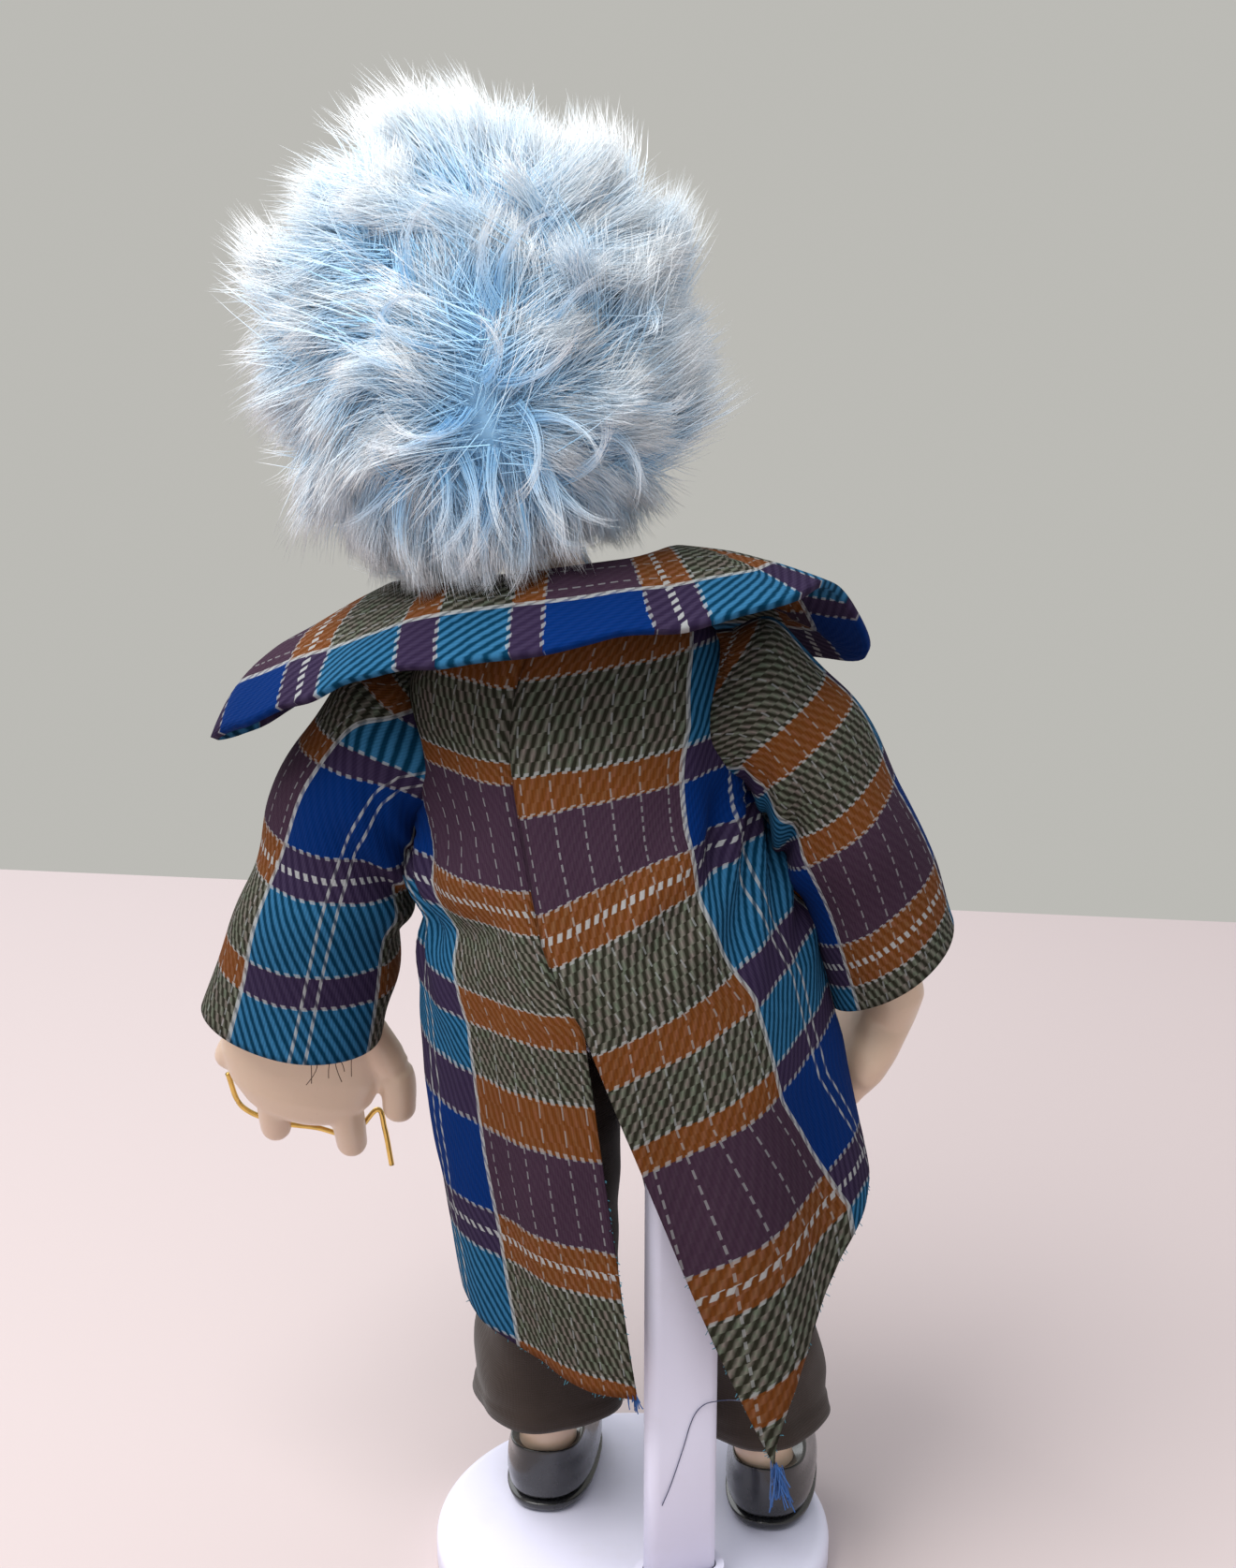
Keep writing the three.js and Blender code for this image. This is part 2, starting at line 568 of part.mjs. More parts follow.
// Tapered round finger with a domed end.
function finger(base, tip, thick, thin) {
  const along = tip.clone().sub(base);
  const unit = along.clone().normalize();
  const across = vec(1, 0, 0.3);
  const stops = [[0, thick], [0.45, thick], [0.8, thin], [1, thin * 0.82]];
  const rings = stops.map(([t, r]) => ringAbout(base.clone().addScaledVector(along, t), along, across, r,
    r, 8));
  rings.push(ringAbout(tip.clone().addScaledVector(unit, thin * 0.55), along, across, thin * 0.42,
    thin * 0.42, 8));
  return loft(rings);
}

function buildArm(side) {
  const name = side > 0 ? 'left' : 'right';
  const rows = side > 0 ? SLEEVE_LEFT : SLEEVE_RIGHT;
  const ring = ([ux, uz, lx, lz, depth, y], wall) => {
    const centre = vec((ux + lx) / 2, y, (uz + lz) / 2);
    const reach = vec((ux - lx) / 2, 0, (uz - lz) / 2);
    const half = reach.length();
    return ellipse(0, 0, 0, 1, 1, 18).map((p) => {
      const point = centre.clone().addScaledVector(reach, (p.x * (half - wall)) / half);
      point.y += p.y * (depth - wall);
      point.x *= side;
      return point;
    });
  };
  add(upper, `${name}_sleeve`, shell(rows.map((r) => ring(r, 0)), rows.map((r) => ring(r, SLEEVE_WALL))),
    PLAID);

  // The middle of the sleeve at a height, where the arm runs.
  const middle = rows.map((r) => [(r[1] + r[3]) / 2, (r[0] + r[2]) / 2, r[5]]).reverse();
  const arm = (z) => vec(side * profileAt(middle, z, 1), profileAt(middle, z, 2), z);
  const down = arm(ELBOW - 12).sub(arm(ELBOW + 12)).normalize();
  const across = vec(0, 1, 0);
  const elbow = arm(ELBOW);

  const armEndZ = ELBOW + ELBOW_BALL + 1;
  const upperStops = [[vec(side * (SHIRT_ROWS[3][1] + SHIRT_WALL + FIT), 0, SHOULDER), 5.5],
    [vec(side * 39, 0, SHOULDER - 0.4), UPPER_ARM_RADIUS - 0.6],
    [arm(mix(armEndZ, SHOULDER, 0.81)), UPPER_ARM_RADIUS + 0.5], [arm(mix(armEndZ, SHOULDER, 0.43)),
      UPPER_ARM_RADIUS + 0.6],
    [arm(armEndZ), UPPER_ARM_RADIUS - 0.8]];
  const upperArm = loft(upperStops.map(([p, r], i) => {
    const before = upperStops[Math.max(0, i - 1)][0];
    const after = upperStops[Math.min(upperStops.length - 1, i + 1)][0];
    return ringAbout(p, after.clone().sub(before), across, r, r, 16);
  }));
  add(upper, `${name}_upper_arm`, upperArm, BODY_CLOTH);

  const grip = ELBOW_BALL + FIT;
  const armEnd = UPPER_ARM_RADIUS - 0.8 + FIT;
  const bandStops = [[-5, grip + 4, grip + 2.8], [0, grip + 4.2, grip], [6, grip + 4.2, grip],
    [ELBOW_BALL + 1, armEnd + 3, armEnd + 0.2], [ELBOW_BALL + 5, armEnd + 3.2, armEnd + 2]];
  const bandRing = (k) => bandStops.map((s) => ringAbout(elbow.clone().addScaledVector(down, -s[0]),
    down, across, s[k], s[k], 16));
  add(upper, `${name}_arm_binding`, shell(bandRing(1), bandRing(2)), BODY_CLOTH);

  // The hand hangs from the wrist: the left one shows its back, the right one is half closed and turned in.
  const reach = side > 0 ? FOREARM_LEFT : FOREARM_RIGHT;
  const wrist = arm(ELBOW - reach);
  const drop = side > 0 ? vec(0.29, 0, -0.957) : vec(0.4, -0.52, -0.755);
  const wide = side > 0 ? vec(0.957, 0, 0.29) : vec(0.1, 0.84, -0.53);
  const back = side > 0 ? vec(0, 1, 0) : vec(-0.91, -0.14, -0.39);
  const [stretch, spread] = side > 0 ? [1, 1] : [0.64, 0.86];
  const along = (fall) => (fall <= 0 ? arm(ELBOW - reach - fall)
    : wrist.clone().addScaledVector(drop, fall * stretch));
  const handAt = (fall, x, y) => along(fall).addScaledVector(wide, x * spread).addScaledVector(back,
    y * stretch);

  // Forearm and hand: fall from the wrist, half-width across the palm, half-thickness, shift to the back
  const round = (t) => [-reach - ELBOW_BALL * 0.94 * Math.sin(t), ELBOW_BALL * Math.cos(t),
    ELBOW_BALL * Math.cos(t), 0];
  const [palm, thick] = [PALM_WIDTH / 2, PALM_THICKNESS / 2];
  const hand = [round(1.25), round(0.85), round(0.4), round(0), [6 - reach, ELBOW_BALL, ELBOW_BALL, 0],
    [reach * -0.5, 8.2, 8.2, 0], [0, WRIST_RADIUS, WRIST_RADIUS, 0], [7, palm * 0.42, thick * 0.96, -0.6],
    [13, palm * 0.68, thick * 0.96, -1.4], [18, palm * 0.86, thick, -2.4], [25, palm, thick, -4],
    [34, palm, thick, -6], [43, palm * 0.88, thick * 0.94, -8.5], [50, palm * 0.68, thick * 0.76, -11],
    [53.5, palm * 0.4, thick * 0.48, -12.2]];
  const handRings = hand.map(([fall, a, b, y], i) => {
    const lower = hand[Math.min(hand.length - 1, i + 1)];
    const upperRow = hand[Math.max(0, i - 1)];
    const run = handAt(lower[0], 0, lower[3]).sub(handAt(upperRow[0], 0, upperRow[3]));
    return ringAbout(handAt(fall, 0, y), run, wide, fall > 0 ? a * spread : a, b, 14);
  });
  const digits = [
    [[29, 16, -6], [39, 23.5, -11], 4.5, 4], [[46, 8, -10], [62, 8.5, -18], 4.6, 4.3],
    [[46, -3, -12], [55, -3.5, -21], 4.5, 4.2], [[45, -13, -10], [62, -15, -18], 4.6, 4.3],
    [[20, -19, -4], [43.5, -29.5, -9], 5, 4.5],
  ].map(([from, to, base, end]) => finger(handAt(...from), handAt(...to), base, end));
  let solid = join(loft(handRings), ...digits);
  if (side > 0) {
    const path = [[44, 21.5, -13], [52, 18.5, -16], [57.5, 8.5, -17.5], [59.5, -3, -20], [58.5, -14.6, -17.5],
      [49, -21.5, -16.5], [55, -24.5, -17], [66, -28, -17]].map((p) => handAt(...p));
    solid = cut(solid, bar(path, GOLD_WIRE + 2 * FIT, 20));
    add(upper, 'hand_wire', tidy(bar(path, GOLD_WIRE, 20)), GOLD);
  }
  add(upper, `${name}_hand`, solid, PORCELAIN);
}

// Coat, in the leaning frame: half-widths and half-depths by height, all falling from the shoulders
const HALF_WIDTH_LEFT = [[74, 50], [112, 52], [134, 54], [150, 54.5], [165, 53.5], [190, 51], [204,
  48.4], [214, 46.2], [226, 44.4],
  [240, 43.9], [262, 43.6], [270, 41], [276, 36], [281, 27], [COAT_NECK, NECK_RADIUS + CLOTH / 2 + FIT]];
const HALF_WIDTH_RIGHT = [[52, 58], [90, 60.5], [115, 61], [154, 59], [177, 55.5], [190, 52], [204,
  48.4], [214, 46.2], [226, 44.4],
  [240, 43.9], [262, 43.6], [270, 41], [276, 36], [281, 27], [COAT_NECK, NECK_RADIUS + CLOTH / 2 + FIT]];
const HALF_DEPTH_BACK = [[52, 50], [100, 51], [150, 50], [180, 48.8], [196, 46.8], [212, 42.8], [230,
  36.6], [250, 30.6],
  [262, 27.2], [270, 24.4], [278, 19.8], [COAT_NECK, NECK_RADIUS + CLOTH / 2 + FIT]];
const HALF_DEPTH_FRONT = [[110, 40], [150, 38], [180, 35.5], [200, 32], [230, 29.4], [250, 27.6], [262,
  25.6],
  [270, 22.8], [278, 19], [COAT_NECK, NECK_RADIUS + CLOTH / 2 + FIT]];

// A point of the coat: turn from the centre back in degrees, positive to the doll's left.
function coatPoint(turn, z, lift = 0) {
  const t = turn * DEG;
  const a = profileAt(turn >= 0 ? HALF_WIDTH_LEFT : HALF_WIDTH_RIGHT, z);
  const b = profileAt(Math.abs(turn) < 90 ? HALF_DEPTH_BACK : HALF_DEPTH_FRONT, z);
  const hang = 1 - ramp(120, 205, z);
  const fold = 2.4 * hang * Math.sin(6.2 * t + 0.9 * Math.sign(turn)) * ramp(4, 30, Math.abs(turn));
  const grow = fold + lift;
  return vec((a + grow) * Math.sin(t), (b + grow) * Math.cos(t), z);
}

const armhole = (z) => (z > ARMHOLE_BOTTOM && z < ARMHOLE_TOP
  ? 28 * Math.sin((Math.PI * (z - ARMHOLE_BOTTOM)) / (ARMHOLE_TOP - ARMHOLE_BOTTOM)) : 0);

// Turn in degrees that stands for a distance across the back.
const turnOf = (x, z, rows) => Math.asin(Math.min(0.98, x / profileAt(rows, z))) / DEG;

// How far the back seam runs to the doll's left of the middle, by height
const SEAM_LINE = [[VENT_TOP, 0], [190, 4.6], [201, 8.5], [214, 9.8], [232, 11.7], [250, 13], [262, 11],
  [272, 7], [COAT_NECK, 0]];

const UPPER_LEVELS = [COAT_NECK, 281, 275, 268, 257, 247, 237, 226, 214, 202, 191];

function coatPanel(side, first, last, hem, columns) {
  const grid = UPPER_LEVELS.map((z) => Array.from({ length: columns }, (_, j) => {
    const u = j / (columns - 1);
    return coatPoint(side * mix(first(z), last(z), u), z);
  }));
  for (let i = 1; i <= 7; i++) {
    grid.push(Array.from({ length: columns }, (_, j) => {
      const u = j / (columns - 1);
      const z = mix(191, hem(u), i / 7);
      return coatPoint(side * mix(first(z), last(z), u), z);
    }));
  }
  return plate(grid, CLOTH);
}

function buildCoat() {
  const sideSeam = SEAM * 1.1;
  for (const side of [1, -1]) {
    const name = side > 0 ? 'left' : 'right';
    const rows = side > 0 ? HALF_WIDTH_LEFT : HALF_WIDTH_RIGHT;
    const drop = (z) => Math.max(0, VENT_TOP - z);
    const vent = side > 0 ? () => 0 : (z) => drop(z) * 0.245;
    const inner = (z) => turnOf(SEAM + vent(z) + side * profileAt(SEAM_LINE, z), z, rows);
    const outer = (z) => 90 - armhole(z) - sideSeam;
    const tail = side > 0 ? (u) => mix(LEFT_TAIL_TIP + 5, 112, u ** 1.5) : (u) => mix(RIGHT_TAIL_TIP,
      116, u ** 0.75);
    add(upper, `coat_back_${name}`, coatPanel(side, inner, outer, tail, 12), PLAID);

    const near = (z) => 90 + armhole(z) + sideSeam;
    const far = (z) => (z > 262 ? mix(142, 118, (z - 262) / (COAT_NECK - 262)) : mix(152, 142, ramp(190,
      262, z)));
    const front = (u) => mix(side > 0 ? 112 : 116, 186, u ** 0.55);
    add(upper, `coat_front_${name}`, coatPanel(side, near, far, front, 9), PLAID);

    const lapelLevels = [256, 250, 243, 235, 226, 217, 209];
    const lapel = lapelLevels.map((z) => Array.from({ length: 6 }, (_, j) => {
      const wide = mix(4, 24, ramp(205, 248, z));
      const turn = mix(far(z) + 3 - wide, far(z) + 3, j / 5);
      return coatPoint(side * turn, z, 2 + 0.6 * Math.sin((Math.PI * j) / 5));
    }));
    add(upper, `coat_lapel_${name}`, plate(lapel, CLOTH), PLAID);
  }

  const seat = coatPoint(146, 199, CLOTH / 2 + FIT + 0.7);
  const away = coatPoint(146, 199, 10).sub(seat).normalize();
  const disc = [[0, 4.6], [0.6, 5], [1.8, 5], [2.4, 4]].map(([rise, r]) => ringAbout(
    seat.clone().addScaledVector(away, rise), away, vec(0, 0, 1), r, r, 16));
  add(upper, 'coat_button', loft(disc), BUTTON_BROWN);
}

// Collar fall by share of the way round from the left front: rise over the straight line, fullness
const COLLAR_FALL = [[0, 3, 3], [0.08, 8, 4], [0.167, 16, 9], [0.25, 13, 5], [0.34, 11, 3.4], [0.5, 10.5, 3],
  [0.75, 9, 3], [0.84, 8, 3], [0.92, 6, 3], [1, 3, 3]];

// The wide collar: an edge round the neck and a wide outer edge, joined by a fall that rises and rolls over
function buildCollar() {
  const tip = COLLAR_TIP_REACH + COLLAR_SHIFT;
  const seat = COAT_NECK + COLLAR_THICKNESS / 2 + FIT + 0.2;
  const neckEdge = new THREE.CatmullRomCurve3([[13.5, -13.5, seat - 1.4], [17, -3, seat], [13.6, 9.8, seat],
    [0, 16.6, seat], [-13.6, 9.8, seat], [-17, -3, seat], [-13.5, -13.5, seat - 1.4]]
    .map((p) => vec(...p)));
  const outerEdge = new THREE.CatmullRomCurve3([[44, -33, 263], [70, -20, 263], [tip, 6, 257], [84, 24,
    263], [62, 36, 270.5],
    [38, 44, 275.5], [12, 48.5, 278], [-18, 48.5, 278], [-42, 43, 279.5], [-64, 32, 280.5], [-74, 8, 280],
    [-77, -17, 263], [-44, -33, 262]].map((p) => vec(...p)));
  const columns = 28;
  const rows = 7;
  const grid = Array.from({ length: rows }, (_, i) => Array.from({ length: columns + 1 }, (_, j) => {
    const [u, v] = [j / columns, i / (rows - 1)];
    const point = neckEdge.getPoint(u).lerp(outerEdge.getPoint(u), v);
    const full = 1 - v ** profileAt(COLLAR_FALL, u, 2);
    point.z += profileAt(COLLAR_FALL, u) * ramp(0, 0.34, v) * full + 0.9 * v * Math.sin(34 * u);
    return point;
  }));
  add(upper, 'coat_collar', plate(grid, COLLAR_THICKNESS), PLAID);
}

buildStand();
buildSeat();
buildTorso();
buildHead();
for (const side of [1, -1]) {
  buildLeg(side);
  buildArm(side);
}
buildCoat();
buildCollar();

export default root;
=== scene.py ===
"""Porcelain clown doll on a white stand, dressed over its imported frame.

Lengths in the shape functions are millimetres. The doll faces -Y, and the photograph looks at its back.
"""
import json
import math
from contextlib import contextmanager

import bmesh
import bpy
import numpy as np
from bpy.props import FloatProperty, FloatVectorProperty, IntProperty, PointerProperty
from bpy.types import Operator, Panel, PropertyGroup
from mathutils import Matrix, Vector, noise
from mathutils.kdtree import KDTree


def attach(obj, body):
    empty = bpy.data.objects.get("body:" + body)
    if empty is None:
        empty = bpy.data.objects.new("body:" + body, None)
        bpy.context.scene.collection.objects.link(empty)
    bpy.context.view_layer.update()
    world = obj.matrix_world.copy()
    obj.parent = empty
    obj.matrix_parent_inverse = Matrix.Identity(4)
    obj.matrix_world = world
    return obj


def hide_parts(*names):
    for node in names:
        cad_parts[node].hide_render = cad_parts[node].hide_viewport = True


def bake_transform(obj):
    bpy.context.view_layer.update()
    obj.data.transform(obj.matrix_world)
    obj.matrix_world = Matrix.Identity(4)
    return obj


bl_info = {
    "name": "Porcelain clown doll",
    "version": (1, 0, 0),
    "blender": (4, 5, 0),
    "location": "View3D > Sidebar > Doll",
    "description": "Dresses the packed frame of a porcelain clown doll on its stand",
    "category": "Object",
}

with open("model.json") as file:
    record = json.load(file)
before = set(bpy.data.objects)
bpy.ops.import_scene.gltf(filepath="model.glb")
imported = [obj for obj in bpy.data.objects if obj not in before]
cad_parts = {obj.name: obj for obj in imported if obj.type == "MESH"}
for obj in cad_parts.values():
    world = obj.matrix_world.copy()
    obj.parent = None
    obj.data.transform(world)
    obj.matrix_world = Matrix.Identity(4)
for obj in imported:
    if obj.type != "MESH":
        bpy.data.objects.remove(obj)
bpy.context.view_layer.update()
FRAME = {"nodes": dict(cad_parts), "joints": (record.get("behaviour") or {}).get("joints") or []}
JOINTS = {joint["name"]: joint for joint in FRAME["joints"]}
MM = 0.001
LEFT, RIGHT = 1, -1
SIDE_NAMES = {LEFT: "left", RIGHT: "right"}

# The leaning upper body and the tilted head, read from the frame's joints
LEAN_HEIGHT = 150
NECK_HEIGHT = 288
LEAN_PIVOT = Vector((2, 0, LEAN_HEIGHT))
LEAN = math.asin(JOINTS["left_shoulder"]["axis"][2])
NECK_PIVOT = Vector(JOINTS["neck_turn"]["pos_m"]) / MM
HEAD_LEAN = math.asin(JOINTS["neck_turn"]["axis"][0])


def tilted(pivot, angle, height):
    """A frame that leans sideways about a pivot, with its own heights kept."""
    return Matrix.Translation(pivot) @ Matrix.Rotation(angle, 4, "Y") @ Matrix.Translation((0, 0, -height))


UPPER = tilted(LEAN_PIVOT, LEAN, LEAN_HEIGHT)
HEAD = tilted(NECK_PIVOT, HEAD_LEAN, NECK_HEIGHT)
UPRIGHT = Matrix()


# Sizes and colours that a user would change

def size(name, description, default):
    return FloatProperty(name=name, description=description, default=default, unit="LENGTH",
                         subtype="DISTANCE")


def colour(name, description, *display):
    """A colour property written as 8-bit display values."""
    linear = [(c / 255 / 12.92) if c < 10.3 else ((c / 255 + 0.055) / 1.055) ** 2.4 for c in display]
    return FloatVectorProperty(name=name, description=description, subtype="COLOR", size=3, min=0, max=1,
                               default=linear)


class DollSizes(PropertyGroup):
    cloth: size("Cloth", "Thickness of the coat's twill", 0.0009)
    band_repeat: size("Plaid repeat", "Length of one repeat of the plaid's cross bands", 0.098)
    column_repeat: size("Plaid column repeat", "Width of one grey-green and one blue column", 0.083)
    twill_pitch: size("Twill pitch", "Distance between the twill's slanted ribs", 0.0022)
    tuft_length: size("Tuft length", "Length of the wig's fur tufts", 0.027)
    tuft_count: IntProperty(name="Tufts", description="Number of tufts on the wig", default=13000, min=100)
    wire: size("Wire", "Diameter of the gold wire", 0.0016)


class DollColours(PropertyGroup):
    olive: colour("Olive", "Grey-green bands of the plaid", 73, 68, 54)
    rust: colour("Rust", "Rust bands of the plaid", 109, 61, 25)
    plum: colour("Plum", "Plum bands of the plaid", 60, 42, 57)
    royal: colour("Royal blue", "Blue squares of the plaid", 2, 39, 98)
    turquoise: colour("Turquoise", "Light blue squares of the plaid", 11, 80, 116)
    purple: colour("Purple", "Dark bands across the blue column", 47, 36, 62)
    pale: colour("Pale yarn", "Pale lines of the plaid", 156, 158, 158)
    skin: colour("Porcelain", "Painted porcelain of the face, hands and legs", 206, 180, 156)
    fur_root: colour("Fur root", "Fur near the cap", 166, 214, 246)
    fur_tip: colour("Fur tip", "Fur tips", 250, 253, 255)
    trousers: colour("Trousers", "Dark brown trouser cloth", 55, 45, 40)
    stand: colour("Stand", "White plastic of the stand", 224, 222, 240)
    gold: colour("Gold", "Gold wire", 230, 192, 108)


def sizes():
    return bpy.context.scene.doll_sizes


def colours():
    return bpy.context.scene.doll_colours


# Shape helpers

def ramp(low, high, x):
    """A soft step from 0 at low to 1 at high."""
    t = min(1.0, max(0.0, (x - low) / (high - low)))
    return t * t * (3 - 2 * t)


def mix(a, b, t):
    return a + (b - a) * t


def bell(x, middle, width):
    return math.exp(-((x - middle) / width) ** 2)


def steps(a, b, count):
    """Even steps from a to b, both included."""
    return [mix(a, b, i / count) for i in range(count + 1)]


def circle(count):
    """The angles of a full turn."""
    return [2 * math.pi * i / count for i in range(count)]


def at(rows, z, column=1):
    """Value at z in rows of (z, value, ...) with z rising, with straight lines between them."""
    return float(np.interp(z, [row[0] for row in rows], [row[column] for row in rows]))


def eased(rows, z, column=1):
    """Value at z with the corners of the rows rounded over a few millimetres."""
    reach = max(0.01, min(7.0, z - rows[0][0], rows[-1][0] - z))
    return sum(at(rows, z + reach * step, column) for step in (-1, -0.5, 0, 0.5, 1)) / 5


def ripple(x, y, z, scale, depth):
    """Soft uneven wrinkles."""
    return depth * noise.noise(Vector((x, y, z)) / scale)


def ring_at(z, sides, point):
    """A level ring of points; point gives x and y for an angle."""
    return [Vector((*point(t), z)) for t in circle(sides)]


def ring_about(centre, direction, across, a, b, count):
    """An oval ring about a direction, a wide along across and b wide beside it."""
    n = Vector(direction).normalized()
    u = (Vector(across) - n * n.dot(Vector(across))).normalized()
    v = n.cross(u)
    return [Vector(centre) + u * (a * math.cos(t)) + v * (b * math.sin(t)) for t in circle(count)]


def lathe(profile, sides):
    """Rings about the vertical axis from a profile of (radius, height)."""
    return [ring_at(z, sides, lambda t: (r * math.cos(t), r * math.sin(t))) for r, z in profile]


def placed(frame, points):
    """Rings or rows of millimetre points, moved by a frame and turned into metres."""
    return [[frame @ Vector(p) * MM for p in row] for row in points]


def curve_through(points, count):
    """Points on a smooth curve through given ones, ends included."""
    pts = [Vector(p) for p in points]
    pts = [pts[0] * 2 - pts[1]] + pts + [pts[-1] * 2 - pts[-2]]
    out = []
    spans = len(pts) - 3
    for i in range(count + 1):
        place = spans * i / count
        k = min(int(place), spans - 1)
        t = place - k
        a, b, c, d = pts[k:k + 4]
        square = (2 * a - 5 * b + 4 * c - d) * t ** 2
        cube = (3 * b - a - 3 * c + d) * t ** 3
        out.append(0.5 * (2 * b + (c - a) * t + square + cube))
    return out


def runs_along(path):
    """The direction of a path at each of its points."""
    last = len(path) - 1
    return [path[min(i + 1, last)] - path[max(i - 1, 0)] for i in range(last + 1)]


# Mesh helpers

def new_object(name, mesh):
    made = bpy.data.objects.new(name, mesh)
    bpy.context.scene.collection.objects.link(made)
    return made


def shade_smooth(mesh):
    for face in mesh.polygons:
        face.use_smooth = True


def grid_faces(rows, columns, around=False, first=0):
    """Quads of a grid of numbered points; around joins the last column to the first."""
    faces = []
    for i in range(rows - 1):
        here = first + i * columns
        for j in range(columns if around else columns - 1):
            k = (j + 1) % columns
            faces.append((here + j, here + k, here + columns + k, here + columns + j))
    return faces


def grid_piece(name, points, uvs=None, around=False):
    """An open sheet over a grid of points in metres, rows by columns."""
    columns = len(points[0])
    mesh = bpy.data.meshes.new(name)
    mesh.from_pydata([tuple(p) for row in points for p in row], [], grid_faces(len(points), columns, around))
    if uvs:
        layer = mesh.uv_layers.new(name="UVMap")
        for face in mesh.polygons:
            for corner, vertex in zip(face.loop_indices, face.vertices):
                layer.data[corner].uv = uvs[vertex // columns][vertex % columns]
    shade_smooth(mesh)
    return new_object(name, mesh)


@contextmanager
def editing(piece):
    """The piece's mesh opened for editing, and written back afterwards."""
    work = bmesh.new()
    work.from_mesh(piece.data)
    yield work
    work.to_mesh(piece.data)
    work.free()


def closed_piece(name, rings):
    """A closed skin over rings of points in metres, with its two ends closed by fans."""
    piece = grid_piece(name, rings, around=True)
    columns = len(rings[0])
    with editing(piece) as work:
        verts = list(work.verts)
        for first in (0, (len(rings) - 1) * columns):
            ring = verts[first:first + columns]
            middle = work.verts.new(sum((v.co for v in ring), Vector()) / columns)
            for j in range(columns):
                work.faces.new((ring[j], ring[(j + 1) % columns], middle)).smooth = True
        bmesh.ops.recalc_face_normals(work, faces=work.faces)
    return piece


def face_outwards(piece):
    with editing(piece) as work:
        bmesh.ops.recalc_face_normals(work, faces=work.faces)


def join_seam(piece):
    """Welds the edges of a rolled sheet where they meet."""
    with editing(piece) as work:
        bmesh.ops.remove_doubles(work, verts=work.verts, dist=1e-6)


def modifier(piece, kind, **settings):
    made = piece.modifiers.new(kind.title(), kind)
    for name, value in settings.items():
        setattr(made, name, value)


def thicken(piece, thickness, offset=0.0):
    modifier(piece, "SOLIDIFY", thickness=thickness, offset=offset, use_even_offset=False)


def settle(piece):
    """Turns a piece and its modifiers into a plain mesh."""
    bpy.context.view_layer.update()
    evaluated = piece.evaluated_get(bpy.context.evaluated_depsgraph_get())
    mesh = bpy.data.meshes.new_from_object(evaluated)
    piece.modifiers.clear()
    piece.data = mesh


def cloth_piece(name, points, uvs=None, around=False, seam=False, thickness=None):
    """A woven sheet with its real thickness, facing outwards."""
    piece = grid_piece(name, points, uvs, around)
    if seam:
        join_seam(piece)
    thicken(piece, thickness or sizes().cloth)
    settle(piece)
    face_outwards(piece)
    return piece


def merge_cast(piece, others, voxel):
    """Joins overlapping parts into one smooth cast."""
    with editing(piece) as work:
        for part in others:
            work.from_mesh(part.data)
    for part in others:
        bpy.data.objects.remove(part)
    modifier(piece, "REMESH", mode="VOXEL", voxel_size=voxel, use_smooth_shade=True)
    modifier(piece, "SMOOTH", factor=0.5, iterations=5)
    settle(piece)
    shade_smooth(piece.data)


def tube(name, path, radii, sides):
    """A closed round bar along points in metres."""
    across = Vector((0.37, 0.21, 0.9))
    rings = [ring_about(p, run, across, r, r, sides) for p, run, r in zip(path, runs_along(path), radii)]
    return closed_piece(name, rings)


def paint_over(piece, finish):
    piece.data.materials.clear()
    piece.data.materials.append(finish)


def repaint(node, finish):
    """Gives a CAD node that stays on show its finished material."""
    paint_over(FRAME["nodes"][node], finish)


def dress(piece, finish, body=None, nodes=()):
    """Gives a piece its material and its body, and hides the CAD nodes that it stands for."""
    paint_over(piece, finish)
    if body:
        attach(piece, body)
    if nodes:
        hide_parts(*nodes)


# Materials

class Graph:
    """Short calls that add linked nodes to a node tree."""

    def __init__(self, tree):
        self.tree = tree

    def feed(self, socket, value):
        """Links an output to a socket, or writes a value on it."""
        if isinstance(value, bpy.types.NodeSocket):
            self.tree.links.new(value, socket)
        else:
            wide = hasattr(socket.default_value, "__len__") and len(socket.default_value) == 4
            socket.default_value = (*value, 1) if wide and len(value) == 3 else value

    def add(self, kind, inputs=(), **settings):
        made = self.tree.nodes.new(kind)
        for name, value in settings.items():
            setattr(made, name, value)
        for key, value in dict(inputs).items():
            self.feed(made.inputs[key], value)
        return made

    def node(self, kind, output=0, inputs=(), **settings):
        return self.add(kind, inputs, **settings).outputs[output]

    def math(self, operation, *values):
        return self.node("ShaderNodeMath", inputs=enumerate(values), operation=operation)

    def plus(self, a, b):
        return self.math("ADD", a, b)

    def minus(self, a, b):
        return self.math("SUBTRACT", a, b)

    def times(self, a, b):
        return self.math("MULTIPLY", a, b)

    def over(self, a, b):
        return self.math("DIVIDE", a, b)

    def larger(self, a, b):
        return self.math("MAXIMUM", a, b)

    def fract(self, a):
        return self.math("FRACT", a)


